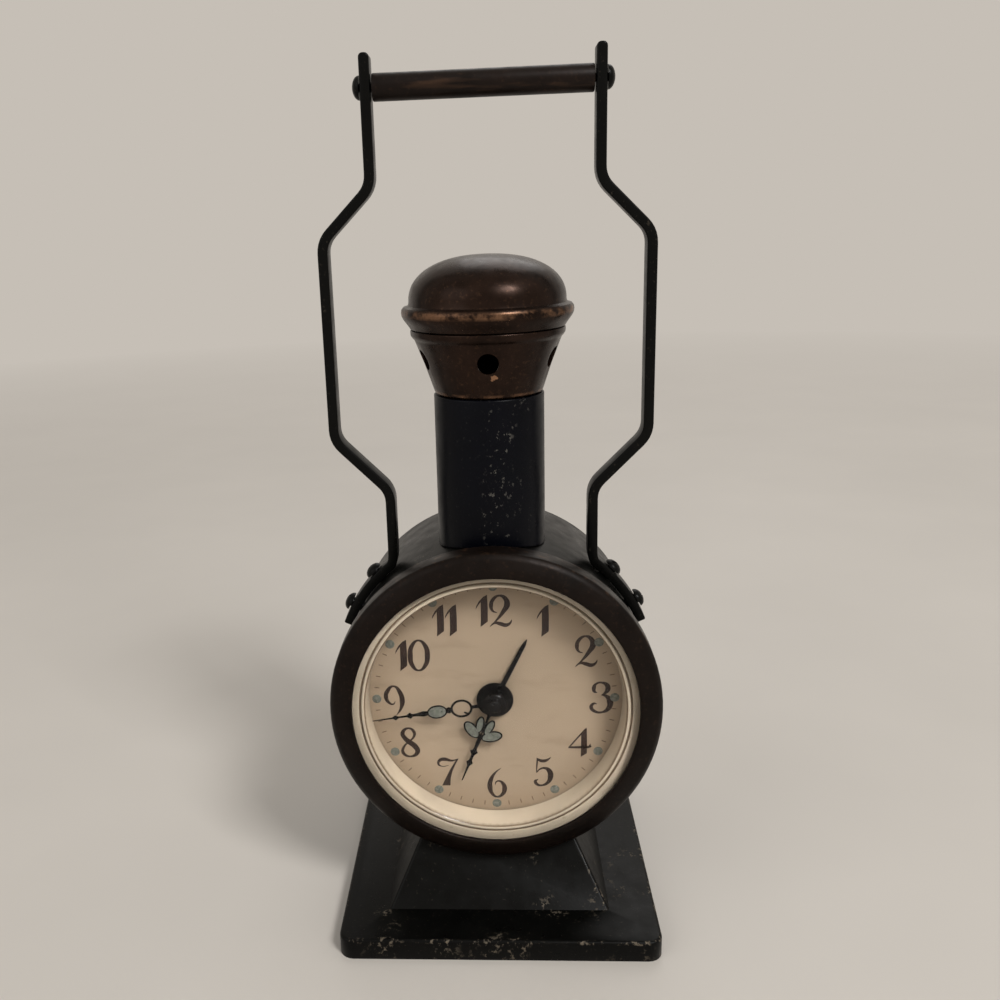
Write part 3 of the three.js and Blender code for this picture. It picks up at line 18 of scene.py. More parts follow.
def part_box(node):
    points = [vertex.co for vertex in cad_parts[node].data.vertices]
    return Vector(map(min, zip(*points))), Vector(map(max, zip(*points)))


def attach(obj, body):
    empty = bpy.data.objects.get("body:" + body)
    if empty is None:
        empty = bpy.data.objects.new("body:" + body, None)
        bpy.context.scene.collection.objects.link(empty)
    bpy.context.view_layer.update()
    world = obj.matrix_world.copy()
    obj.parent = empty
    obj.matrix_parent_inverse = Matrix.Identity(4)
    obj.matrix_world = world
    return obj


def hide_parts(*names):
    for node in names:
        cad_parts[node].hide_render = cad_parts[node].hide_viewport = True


bl_info = {
    "name": "Signal lamp alarm clock",
    "version": (1, 0, 0),
    "blender": (4, 5, 0),
    "location": "View3D > Sidebar > Clock",
    "description": "Models and finishes the pieces of an alarm clock shaped like a signal lamp",
    "category": "Object",
}

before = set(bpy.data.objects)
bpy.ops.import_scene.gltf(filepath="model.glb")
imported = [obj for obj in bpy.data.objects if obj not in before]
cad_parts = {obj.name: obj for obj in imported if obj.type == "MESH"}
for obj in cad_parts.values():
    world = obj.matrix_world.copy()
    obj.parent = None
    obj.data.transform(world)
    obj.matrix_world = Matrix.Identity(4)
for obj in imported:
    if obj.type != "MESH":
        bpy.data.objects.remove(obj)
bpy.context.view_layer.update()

MM = 0.001
DRUM_LOW, DRUM_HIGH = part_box("drum_case")
HEAD = Vector((0, 0, (DRUM_LOW.z + DRUM_HIGH.z) / 2))  # a point on the drum's axis
DRUM_RADIUS = (DRUM_HIGH.x - DRUM_LOW.x) / 2
BASE_LOW, BASE_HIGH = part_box("base_shell")
CHIMNEY_LOW, CHIMNEY_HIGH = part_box("chimney_tube")
LAMP = Vector((0, (CHIMNEY_LOW.y + CHIMNEY_HIGH.y) / 2, 0))  # a point on the chimney's axis
ALONG_Y = Vector((0, 1, 0))
ALONG_Z = Vector((0, 0, 1))
WELD = 0.002 * MM  # points closer than this are one
FULL_TURN = 2 * math.pi
QUARTER_TURN = math.pi / 2


def hex_colour(text):
    """A hex sRGB colour as the linear RGBA that sockets and properties take"""
    levels = [int(text[i : i + 2], 16) / 255 for i in (1, 3, 5)]
    linear = [v / 12.92 if v <= 0.04045 else ((v + 0.055) / 1.055) ** 2.4 for v in levels]
    return (*linear, 1.0)


def length(name, description, default):
    """A size that a user can change, given in millimetres and kept in metres"""
    return FloatProperty(
        name=name, description=description, default=default * MM, min=0, unit="LENGTH", precision=5
    )


def colour(name, description, default):
    """A colour that a user can change, given as hex"""
    default = hex_colour(default)
    return FloatVectorProperty(
        name=name, description=description, default=default, subtype="COLOR", size=4, min=0, max=1
    )


def level(name, description, default):
    """A strength or power that a user can change"""
    return FloatProperty(name=name, description=description, default=default, min=0)


class ClockSizes(bpy.types.PropertyGroup):
    """Sizes of what is finished here"""

    turning_steps: IntProperty(
        name="Turning steps", description="Faces round each turned piece", default=112, min=24
    )
    numeral_height: length("Numeral height", "Height of the printed hour numerals", 7.9)
    print_depth: length("Print depth", "How far the printing stands off the dial", 0.04)
    tick_length: length("Tick length", "Length of the minute marks", 1.1)
    tick_radius: length("Tick circle", "Radius of the middle of the minute marks", 27.8)
    lume_dot_radius: length("Hour dot radius", "Radius of the luminous hour dots", 1.1)
    paint_round: length("Paint round", "Rounding that thick paint gives to edges", 0.35)


class ClockColours(bpy.types.PropertyGroup):
    """Colours of the finishes"""

    black_paint: colour("Black paint", "Stoved enamel on drum, base and bail", "#070706")
    navy_paint: colour("Navy paint", "Enamel on the chimney", "#04050b")
    worn_steel: colour("Worn metal", "What shows where paint has rubbed off", "#84796a")
    primer: colour("Primer", "Pale undercoat that the chimney's chips show", "#6f6c66")
    bezel_brown: colour("Bezel brown", "Bronze lacquer on the bezel", "#140d09")
    cap_brown: colour("Cap brown", "Copper-brown lacquer on cowl and cap", "#261a14")
    # this bright copper is both rubbed wear and the painted highlight along the cap bead's crest
    cap_worn: colour("Worn copper", "Where the lacquer has rubbed thin", "#8f6a50")
    grip_brown: colour("Grip brown", "Lacquer on the grip rod", "#170f0b")
    ring_cream: colour("Ring cream", "Enamel of the ring round the dial", "#c2b39d")
    dial_cream: colour("Dial cream", "Aged print ground of the dial", "#a39079")
    groove_brown: colour("Groove brown", "Line in the ring's groove", "#5e4a33")
    ink: colour("Ink", "Printed numerals", "#241208")
    faded_ink: colour("Faded ink", "Printed minute marks", "#5a4632")
    lume: colour("Luminous paint", "Aged luminous paint", "#6f7167")
    hand_black: colour("Hand black", "Enamel on hands and boss", "#060505")
    brass: colour("Brass", "Back cover, plates and wheels", "#b0925c")
    key_brass: colour("Key brass", "Keys, knobs and button, kept bright by fingers", "#d8bc84")
    steel: colour("Steel", "Screws and arbors", "#8b8b8d")
    felt: colour("Felt", "Pad under the base", "#22282a")


class StageSettings(bpy.types.PropertyGroup):
    """Floor, background and lamps"""

    floor: colour("Floor", "Pale floor", "#d6cfc6")
    background: colour("Background", "What the camera sees past the floor", "#c6bfb6")
    room: colour("Room", "Colour of the even room light", "#fffcf7")
    sky_level: level("Room light", "Strength of the even room light", 0.3)
    key_power: level("Key lamp", "Power of the key lamp in watts", 16)
    fill_power: level("Fill lamp", "Power of the fill lamp in watts", 4)


# Mesh work


def polar(radius, degrees):
    """The two coordinates of a point at a radius and an angle"""
    turn = math.radians(degrees)
    return radius * math.cos(turn), radius * math.sin(turn)


def on_drum(at, along=0.0):
    """A point from its place on the drum seen from the front and its depth, in millimetres"""
    return HEAD + Vector((at[0], along, at[1])) * MM


def select(*pieces):
    """Leaves edit mode and selects only these pieces, with the first of them active"""
    if bpy.context.object and bpy.context.object.mode != "OBJECT":
        bpy.ops.object.mode_set(mode="OBJECT")
    bpy.ops.object.select_all(action="DESELECT")
    for piece in pieces:
        piece.select_set(True)
    if pieces:
        bpy.context.view_layer.objects.active = pieces[0]


def settle():
    """Puts the place, turn and scale of what is selected into its mesh"""
    bpy.ops.object.transform_apply(location=True, rotation=True, scale=True)


def named(name):
    """The object that was just added, with its name"""
    piece = bpy.context.object
    piece.name = piece.data.name = name
    return piece


def edit(piece):
    """Opens one piece in edit mode with all of it selected"""
    select(piece)
    bpy.ops.object.mode_set(mode="EDIT")
    bpy.ops.mesh.select_mode(type="VERT")
    bpy.ops.mesh.select_all(action="SELECT")


def close(piece):
    """Merges doubles, turns the faces outwards and leaves edit mode"""
    bpy.ops.mesh.select_all(action="SELECT")
    bpy.ops.mesh.remove_doubles(threshold=WELD)
    bpy.ops.mesh.normals_make_consistent(inside=False)
    bpy.ops.object.mode_set(mode="OBJECT")
    settle()
    return piece


def pick(piece, test, kind="VERT"):
    """Selects only the vertices or edges of an open mesh whose ends pass the test"""
    bpy.ops.mesh.select_all(action="DESELECT")
    bpy.ops.mesh.select_mode(type=kind)
    mesh = bmesh.from_edit_mesh(piece.data)
    for part in mesh.verts if kind == "VERT" else mesh.edges:
        ends = [part] if kind == "VERT" else part.verts
        part.select_set(test(*(end.co for end in ends)))
    bmesh.update_edit_mesh(piece.data)


def modify(piece, kind, **settings):
    """Adds a modifier with its settings and applies it"""
    select(piece)
    made = piece.modifiers.new(kind.title(), kind)
    for key, value in settings.items():
        setattr(made, key, value)
    bpy.ops.object.modifier_apply(modifier=made.name)
    return piece


def softened(piece, width, segments, limit=math.radians(30)):
    """Rounds the edges that turn by more than a limit"""
    settings = {"width": width * MM, "segments": segments, "angle_limit": limit}
    return modify(piece, "BEVEL", limit_method="ANGLE", **settings)


def eased(corners, ease, steps=3, closed=True):
    """The same flat line with each corner rounded, by no more than 0.45 of its sides"""
    line = [Vector(corner) for corner in corners]
    out = []
    for i, corner in enumerate(line):
        if not closed and i in (0, len(line) - 1):
            out.append(corner)
            continue
        before, after = line[i - 1] - corner, line[(i + 1) % len(line)] - corner
        start = corner + before.normalized() * min(ease, 0.45 * before.length)
        end = corner + after.normalized() * min(ease, 0.45 * after.length)
        for k in range(steps + 1):
            t = k / steps
            out.append(start * (1 - t) ** 2 + corner * 2 * t * (1 - t) + end * t**2)
    return out


def drawn(name, points):
    """A line through the points, each vertex extruded from the last, left in edit mode"""
    select()
    bpy.ops.mesh.primitive_plane_add(size=MM, location=points[0])
    piece = named(name)
    edit(piece)
    bpy.ops.mesh.merge(type="CENTER")
    for before, after in zip(points, points[1:]):
        step = Vector(after) - Vector(before)
        bpy.ops.mesh.extrude_vertices_move(TRANSFORM_OT_translate={"value": step})
    bpy.ops.mesh.select_all(action="SELECT")
    return piece


def turned(name, profile, axis, centre, ease=0.15, steps=None, open_ends=False):
    """A profile of (radius, along) drawn beside an axis and spun about it.

    With open_ends the profile starts and ends on the axis; otherwise it closes on itself.
    """
    line = eased(profile, ease, closed=not open_ends) if ease else [Vector(p) for p in profile]
    if not open_ends:
        line.append(line[0])
    across = Vector((1, 0, 0))
    piece = drawn(name, [Vector(centre) + r * MM * across + a * MM * axis for r, a in line])
    bpy.ops.mesh.remove_doubles(threshold=WELD)
    count = steps or bpy.context.scene.clock_sizes.turning_steps
    bpy.ops.mesh.spin(steps=count, angle=FULL_TURN, center=centre, axis=axis)
    return close(piece)


def slab(name, outline, direction):
    """A closed flat outline filled and extruded by a vector"""
    piece = drawn(name, [*outline, outline[0]])
    bpy.ops.mesh.remove_doubles(threshold=WELD)
    bpy.ops.mesh.edge_face_add()
    bpy.ops.mesh.extrude_region_move(TRANSFORM_OT_translate={"value": direction})
    return close(piece)


def block(name, size, centre):
    """A box of three sides about its centre"""
    select()
    bpy.ops.mesh.primitive_cube_add(size=1, location=centre)
    made = named(name)
    made.scale = size
    settle()
    return made


def rod(name, radius, start, end, vertices=48):
    """A round bar of a radius in millimetres from one point to another"""
    select()
    start, end = Vector(start), Vector(end)
    bpy.ops.mesh.primitive_cylinder_add(
        vertices=vertices,
        radius=radius * MM,
        depth=(end - start).length,
        location=(start + end) / 2,
        rotation=(end - start).to_track_quat("Z", "Y").to_euler(),
    )
    settle()
    return named(name)


def merged(pieces):
    """Several objects as one, named for the first"""
    select(*pieces)
    if len(pieces) > 1:
        bpy.ops.object.join()
    return pieces[0]


def cut(piece, *tools):
    """Takes the tools out of the piece and deletes them"""
    tool = merged(tools)
    modify(piece, "BOOLEAN", operation="DIFFERENCE", object=tool, solver="EXACT", use_self=True)
    bpy.data.objects.remove(tool)
    return piece


def brushed_strokes(name, strokes, face, thickness):
    """Strokes of changing width in the dial's plane, drawn as curves and pressed flat.

    Each stroke is (closed, points), each point (x, z, half width) from the drum's axis.
    The result is a thin mesh, its face and thickness given in metres.
    """
    select()
    bpy.ops.curve.primitive_bezier_curve_add(location=HEAD)
    curve = named(name).data
    curve.splines.clear()
    curve.bevel_depth = MM
    curve.bevel_resolution = 2
    curve.resolution_u = 7
    curve.use_fill_caps = True
    for closed, points in strokes:
        spline = curve.splines.new("BEZIER")
        spline.bezier_points.add(len(points) - 1)
        spline.use_cyclic_u = closed
        for knot, (x, z, half) in zip(spline.bezier_points, points):
            knot.co = (x * MM, 0, z * MM)
            knot.radius = half
            knot.handle_left_type = knot.handle_right_type = "AUTO"
    bpy.ops.object.convert(target="MESH")
    piece = bpy.context.object
    settle()
    widest = max(v.co.y for v in piece.data.vertices)
    edit(piece)
    bpy.ops.transform.resize(value=(1, thickness / 2 / widest, 1), center_override=(0, 0, 0))
    bpy.ops.transform.translate(value=(0, face + thickness / 2, 0))
    bpy.ops.mesh.normals_make_consistent(inside=False)
    bpy.ops.object.mode_set(mode="OBJECT")
    return piece


def finish_piece(piece, look, body="case", replaces=(), smooth=35):
    """Settles a piece's place into its mesh, smooths, paints and fixes it to its body"""
    select(piece)
    settle()
    bpy.ops.object.shade_smooth_by_angle(angle=math.radians(smooth))
    piece.data.materials.clear()
    piece.data.materials.append(look)
    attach(piece, body)
    if replaces:
        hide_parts(*replaces)
    select()


def copied(piece, name, place):
    """A copy with its own mesh, moved by a matrix"""
    made = piece.copy()
    made.data = piece.data.copy()
    made.name = made.data.name = name
    bpy.context.scene.collection.objects.link(made)
    made.matrix_world = place
    return made


# Materials


def add_node(tree, kind, inputs=(), **settings):
    """Adds a shader node with its settings, and fills its inputs, in order or by name.

    An input takes a value, a socket, or a node, whose first output in use is linked to it.
    """
    made = tree.nodes.new("ShaderNode" + kind)
    for key, value in settings.items():
        setattr(made, key, value)
    if not isinstance(inputs, dict):
        inputs = dict(enumerate(inputs))
    for socket, value in inputs.items():
        if isinstance(value, bpy.types.Node):
            value = next(out for out in value.outputs if out.enabled)
        if isinstance(value, bpy.types.NodeSocket):
            tree.links.new(value, made.inputs[socket])
        else:
            made.inputs[socket].default_value = value
    return made


def new_material(name):
    """An empty material, what adds a node to it, and a place in the clock's own frame"""
    look = bpy.data.materials.new(name)
    look.use_nodes = True
    look.node_tree.nodes.clear()
    add = partial(add_node, look.node_tree)
    return look, add, add("TexCoord").outputs["Object"]


def surfaced(look, add, values, height=None, depth=0.0, strength=1.0):
    """Ends a material: the Principled shader's values, and relief where there is a height"""
    if height:
        relief = {"Height": height, "Distance": depth * MM, "Strength": strength}
        values = {**values, "Normal": add("Bump", relief)}
    add("OutputMaterial", {"Surface": add("BsdfPrincipled", values)})
    return look


def shade(value, factor):
    """A linear colour made lighter or darker"""
    return (*(min(1.0, channel * factor) for channel in value[:3]), 1.0)


def tint(name, factor=1.0):
    """One of the clock's colours, as it is or made lighter or darker"""
    return shade(getattr(bpy.context.scene.clock_colours, name), factor)


def speckle(
    add, place, scale, low=0, high=1, least=0, most=1, detail=3, rough=0.55, stretch=(1, 1, 1)
):
    """Noise of so many waves a metre, spread between two levels and held outside them"""
    place = add("Mapping", {"Vector": place, "Scale": stretch})
    wave = add("TexNoise", {"Vector": place, "Scale": scale, "Detail": detail, "Roughness": rough})
    return add("MapRange", (wave, low, high, least, most))


def band(add, value, middle, half, soft, most=1.0):
    """The most near a middle value, to half each side, falling to zero over the next soft"""
    off = add("Math", (value, middle * MM), operation="SUBTRACT")
    off = add("Math", (off,), operation="ABSOLUTE")
    return add("MapRange", (off, half * MM, (half + soft) * MM, most, 0))


def layered(add, base, *coats):
    """A colour with others laid over it, each by its own share"""
    for share, coat in coats:
        base = add("Mix", {"Factor": share, "A": base, "B": coat}, data_type="RGBA")
    return base


DRUM_AXIS = (HEAD, (1, 0, 1))
CHIMNEY_AXIS = (LAMP, (1, 1, 0))


def from_axis(add, place, axis):
    """Distance from an axis, given as a point on it and the directions across it"""
    centre, across = axis
    moved = add("VectorMath", (place, centre), operation="SUBTRACT")
    flat = add("VectorMath", (moved, across), operation="MULTIPLY")
    return add("VectorMath", (flat,), operation="LENGTH")


@cache
def enamelled_steel(kind):
    """Stoved enamel on pressed steel: semi-gloss, faint orange peel, dust and small chips"""
    look, add, place = new_material("stoved enamel " + kind)
    paint, bare = ("navy_paint", "primer") if kind == "navy" else ("black_paint", "worn_steel")
    x, y, z = add("SeparateXYZ", (place,)).outputs
    # tone changes over about 12 mm, as old paint fades and greases unevenly
    tone = speckle(add, place, 85, 0.35, 0.7, detail=4)
    # dust settles in 0.6 mm specks, drawn coarse enough to show
    dust = speckle(add, place, 1500, 0.66, 0.76, most=0.12, detail=2)
    # small chips come in patches
    fleck = speckle(add, place, 900, detail=4, rough=0.65, stretch=(1, 1, 0.8))
    patch = speckle(add, place, 95, detail=2, rough=0.5, stretch=(1, 1, 0.45))
    fleck_levels, patch_levels = (0.60, 0.64), (0.62, 0.70)
    if kind == "navy":
        # chips gather in an upright patch on the chimney's front, right of its middle
        side = band(add, x, 1.4, 2.2, 4.0)
        front = add("MapRange", (y, -4 * MM, -9 * MM, 0, 0.17))
        patch = add("Math", (side, front, patch), operation="MULTIPLY_ADD")
        patch_levels = (0.61, 0.72)
    elif kind == "base":
        # the plate's upper and lower edges are rubbed, and so are the ridges of the foot
        wide, deep = (add("Math", (side,), operation="ABSOLUTE") for side in (x, y))
        reach = add("Math", (wide, deep), operation="MAXIMUM")
        rim = add("MapRange", (reach, 36.4 * MM, 37.0 * MM))
        ridge = band(add, add("Math", (wide, deep), operation="SUBTRACT"), 0, 0.4, 1.0)
        above = add("MapRange", (z, 5.5 * MM, 6.5 * MM))
        ridge = add("Math", (ridge, above), operation="MULTIPLY")
        rubbed = add("Math", (rim, ridge), operation="MAXIMUM")
        patch = add("Math", (rubbed, 0.13, patch), operation="MULTIPLY_ADD")
        # the plate's upper edge takes most of the knocks
        lip = band(add, z, 4.75, 0.25, 0.3)
        outer = add("MapRange", (reach, 35.8 * MM, 36.4 * MM, 0, 0.14))
        patch = add("Math", (lip, outer, patch), operation="MULTIPLY_ADD")
        fleck_levels, patch_levels = (0.55, 0.62), (0.62, 0.73)
    fleck = add("MapRange", (fleck, *fleck_levels))
    patch = add("MapRange", (patch, *patch_levels))
    chips = add("Math", (fleck, patch), operation="MULTIPLY")
    shown, metal = (add("Math", (chips, part), operation="MULTIPLY") for part in (0.6, 0.5))
    coats = [(tone, tint(paint, 1.2)), (dust, tint(bare, 0.8)), (shown, tint(bare))]
    base = layered(add, tint(paint, 0.85), *coats)
    rough = speckle(add, place, 260, 0.3, 0.7, 0.26, 0.4)
    rough = add("Math", (chips, 0.2, rough), operation="MULTIPLY_ADD")
    # orange peel has a wave of about 0.7 mm, and a chip is 0.05 mm deep
    peel = speckle(add, place, 1400, most=0.35, detail=2)
    height = add("Math", (peel, chips), operation="SUBTRACT")
    values = {"Base Color": base, "Roughness": rough, "Metallic": metal}
    # the old paint's skin has dulled
    values["Specular IOR Level"] = 0.1
    return surfaced(look, add, values, height, 0.05, 0.55)


# For each lacquer: share of its specks, least and most roughness, and metallic. Handling
# has kept the cap glossier than the bezel.
LACQUERS = {
    "cap_brown": (0.1, 0.22, 0.38, 0.65),
    "bezel_brown": (0.04, 0.32, 0.48, 0.4),
    "grip_brown": (0.04, 0.32, 0.48, 0.2),
}
CHIP_AT = Vector((1.2, -17.2, 131.1)) * MM  # on the cowl, under its front vent


@cache
def lacquered_bronze(kind):
    """Brown lacquer on spun brass or copper: satin, mottled, worn through at edges, painted
    highlight on the bead
    """
    look, add, place = new_material("bronze lacquer " + kind)
    specks, smooth, rough, metal = LACQUERS[kind]
    tone = speckle(add, place, 130, 0.3, 0.72, detail=5, rough=0.6)
    fine = speckle(add, place, 1100, 0.58, 0.72, most=specks)
    rub = speckle(add, place, 420, detail=4, rough=0.6)
    if kind == "cap_brown":
        # painted highlight: bright copper along the rolled bead's crest, where it stands furthest
        # out
        height = add("SeparateXYZ", (place,)).outputs["Z"]
        reach = from_axis(add, place, CHIMNEY_AXIS)
        outer = add("MapRange", (reach, 18.7 * MM, 19.2 * MM))
        # the painted highlight runs along the crest, broken up by the rub noise below
        crest_highlight = band(add, height, 144.6, 0.4, 0.7)
        crest_highlight = add("Math", (outer, crest_highlight), operation="MULTIPLY")
        edge = band(add, height, 126.6, 0.3, 0.35, 0.6)
        wear_and_highlight = add("Math", (crest_highlight, edge), operation="MAXIMUM")
        rubbed = add("MapRange", (rub, 0.42, 0.62, 0, 0.6))
        wear_and_highlight = add("Math", (wear_and_highlight, rubbed), operation="MULTIPLY")
        # a small ragged chip shows bare copper
        off = add("VectorMath", (place, CHIP_AT), operation="DISTANCE")
        near = add("MapRange", (off, 0.2 * MM, 1.4 * MM, 0.75, 0))
        ragged = speckle(add, place, 1500, detail=2)
        chip = add("MapRange", (add("Math", (near, ragged), operation="ADD"), 0.88, 0.96))
        wear_and_highlight = add("Math", (wear_and_highlight, chip), operation="MAXIMUM")
    elif kind == "bezel_brown":
        reach = from_axis(add, place, DRUM_AXIS)
        edge = add("MapRange", (reach, DRUM_RADIUS + 0.85 * MM, DRUM_RADIUS + 1.25 * MM))
        rubbed = add("MapRange", (rub, 0.55, 0.68, 0, 0.15))
        wear_and_highlight = add("Math", (edge, rubbed), operation="MULTIPLY")
    else:
        wear_and_highlight = speckle(add, place, 300, 0.58, 0.72, most=0.12, rough=0.6, stretch=(0.12, 1, 1))
    # the bright copper coat is specks and wear, and on the cap also the bead's painted highlight
    coats = [(tone, tint(kind, 1.45)), (fine, tint("cap_worn")), (wear_and_highlight, tint("cap_worn"))]
    values = {
        "Base Color": layered(add, tint(kind, 0.6), *coats),
        "Roughness": speckle(add, place, 330, 0.3, 0.7, smooth, rough, detail=4),
        "Metallic": metal,
        # the lacquer has dulled, as the enamel has
        "Specular IOR Level": 0.16,
    }
    # the lacquer lies in shallow dimples about 2.5 mm across
    dimple = speckle(add, place, 420, detail=2, rough=0.4)
    return surfaced(look, add, values, dimple, 0.12, 0.35)


@cache
def cream_ring_enamel():
    """Cream enamel on pressed steel: glossy, slightly yellowed, with a brown line in its groove"""
    look, add, place = new_material("cream enamel ring")
    reach = from_axis(add, place, DRUM_AXIS)
    tone = speckle(add, place, 70, 0.35, 0.7, detail=4)
    groove = band(add, reach, 30.97, 0.17, 0.08, 0.85)
    edge = band(add, reach, 29.92, 0.10, 0.07, 0.85)
    line = add("Math", (groove, edge), operation="MAXIMUM")
    foxed = speckle(add, place, 600, 0.66, 0.78, most=0.35)
    brown = tint("groove_brown")
    coats = [(tone, tint("ring_cream", 1.06)), (line, brown), (foxed, brown)]
    base = layered(add, tint("ring_cream", 0.88), *coats)
    ripple = speckle(add, place, 500, detail=2)
    return surfaced(look, add, {"Base Color": base, "Roughness": 0.2}, ripple, 0.03, 0.4)


@cache
def printed_dial_card():
    """Printed card on brass: matt cream ground, darker towards its edge, and lightly stained"""
    look, add, place = new_material("printed dial card")
    tone = speckle(add, place, 45, 0.3, 0.7, detail=4)
    # the print is darker towards the ring
    edge = add("MapRange", (from_axis(add, place, DRUM_AXIS), 22 * MM, 30 * MM, 0, 0.22))
    stain = speckle(
        add, place, 160, 0.56, 0.72, most=0.16, detail=4, rough=0.6, stretch=(0.5, 1, 1.6)
    )
    brown = tint("groove_brown")
    coats = [(tone, tint("dial_cream", 1.05)), (edge, brown), (stain, brown)]
    base = layered(add, tint("dial_cream", 0.93), *coats)
    rough = speckle(add, place, 45, 0.3, 0.7, 0.5, 0.62, detail=4)
    # paper grain of about 0.3 mm
    grain = speckle(add, place, 3000, detail=2)
    return surfaced(look, add, {"Base Color": base, "Roughness": rough}, grain, 0.01, 0.3)


@cache
def printing_ink(kind):
    """Brown-black printing ink: thin and slightly uneven in tone"""
    look, add, place = new_material("printing " + kind.replace("_", " "))
    tone = speckle(add, place, 700, 0.35, 0.75)
    base = layered(add, tint(kind, 0.8), (tone, tint(kind, 1.6)))
    return surfaced(look, add, {"Base Color": base, "Roughness": 0.5})


@cache
def luminous_paint():
    """Aged radium-type paint: chalky grey-green grains in a varnish"""
    look, add, place = new_material("aged luminous paint")
    tone = speckle(add, place, 1800, 0.35, 0.7)
    base = layered(add, tint("lume", 0.6), (tone, tint("lume", 1.15)))
    grain = speckle(add, place, 1800)
    return surfaced(look, add, {"Base Color": base, "Roughness": 0.7}, grain, 0.05, 0.5)


@cache
def hand_enamel():
    """Black enamel on stamped brass hands: glossy, a little brown where it is thin"""
    look, add, place = new_material("black hand enamel")
    tone = speckle(add, place, 500, 0.35, 0.75)
    values = {
        "Base Color": layered(add, tint("hand_black"), (tone, tint("hand_black", 1.6))),
        "Roughness": speckle(add, place, 500, 0.3, 0.7, 0.16, 0.3),
        "Specular IOR Level": 0.2,
    }
    return surfaced(look, add, values, speckle(add, place, 900, detail=2), 0.02, 0.3)


@cache
def clock_crystal():
    """Moulded acrylic crystal: clear, polished, with faint hairline scratches"""
    look, add, place = new_material("clear acrylic crystal")
    haze = speckle(add, place, 240, 0.5, 0.8, 0.015, 0.06, rough=0.6, stretch=(1, 1, 0.3))
    values = {
        "Base Color": hex_colour("#ffffff"),
        "Roughness": haze,
        "Transmission Weight": 1,
        "IOR": 1.49,
        # old acrylic is dulled, so it mirrors less of the room than its index would give
        "Specular Tint": hex_colour("#595959"),
    }
    # lamps shine through the crystal instead of leaving the dial in shadow
    shadow = add("LightPath").outputs["Is Shadow Ray"]
    both = (shadow, add("BsdfPrincipled", values), add("BsdfTransparent"))
    add("OutputMaterial", {"Surface": add("MixShader", both)})
    return look


@cache
def bare_metal(kind):
    """Brass or steel as turned and pressed: fine brushing, faint tarnish, fingerprints"""
    look, add, place = new_material("brushed " + kind.replace("_", " "))
    tone = speckle(add, place, 150, 0.35, 0.75, detail=4, rough=0.6)
    values = {
        "Base Color": layered(add, tint(kind), (tone, tint(kind, 0.62))),
        "Roughness": speckle(add, place, 420, 0.3, 0.7, 0.24, 0.42),
        "Metallic": 1,
    }
    grain = speckle(add, place, 700, rough=0.6, stretch=(0.15, 1, 1))
    return surfaced(look, add, values, grain, 0.02, 0.35)


@cache
def wool_felt():
    """Pressed wool felt: matt, with short matted fibres about 1 mm long"""
    look, add, place = new_material("wool felt")
    tone = speckle(add, place, 1400, 0.35, 0.7, detail=5, rough=0.7)
    base = layered(add, tint("felt", 0.7), (tone, tint("felt", 1.5)))
    fibre = speckle(add, place, 1400, detail=5, rough=0.7)
    values = {"Base Color": base, "Roughness": 0.95, "Sheen Weight": 0.3}
    return surfaced(look, add, values, fibre, 0.25, 0.7)


# The drum, bezel and base


SEAT_RADIUS = 37.0  # of the base's cradle and of the chimney's saddle


def drum_bore():
    """A bar in the drum's place, which cuts the seats of what stands on it or holds it"""
    return rod("bore", SEAT_RADIUS, on_drum((0, 0), -60), on_drum((0, 0), 60), 112)


class CLOCK_OT_drum(bpy.types.Operator):
    """Models the drum: a short steel tube with a turned-in front flange and a rear ledge"""

    bl_idname = "clock.drum"
    bl_label = "Drum"

    def execute(self, context):
        radius = DRUM_RADIUS / MM
        inside = radius - 1.2
        tube = [(radius, -20.5), (radius, 23.9), (inside, 23.9)]
        ledge = [(inside, 18.3), (inside - 1.6, 18.3), (inside - 1.6, 17.3), (inside, 17.3)]
        flange = [(inside, -19.5), (inside - 2.2, -19.5), (inside - 2.2, -20.5)]
        drum = turned("drum_shell", [*tube, *ledge, *flange], ALONG_Y, HEAD, 0.35)
        finish_piece(drum, enamelled_steel("black"), replaces=["drum_case"])
        return {"FINISHED"}


class CLOCK_OT_bezel(bpy.types.Operator):
    """Models the spun bezel, which falls back from its nose to a rounded outer edge"""

    bl_idname = "clock.bezel"
    bl_label = "Bezel"

    def execute(self, context):
        outside = [(38.0, -17.5), (38.0, -22.9), (37.0, -23.8), (34.6, -24.75), (33.0, -25.2)]
        inside = [(32.6, -24.95), (32.6, -24.0), (34.9, -23.4), (34.9, -20.8), (37.0, -20.8)]
        profile = [*outside, *inside, (37.0, -17.5)]
        bezel = turned("bezel_ring", profile, ALONG_Y, HEAD, 0.5)
        look = lacquered_bronze("bezel_brown")
        finish_piece(bezel, look, replaces=["front_bezel"])
        return {"FINISHED"}


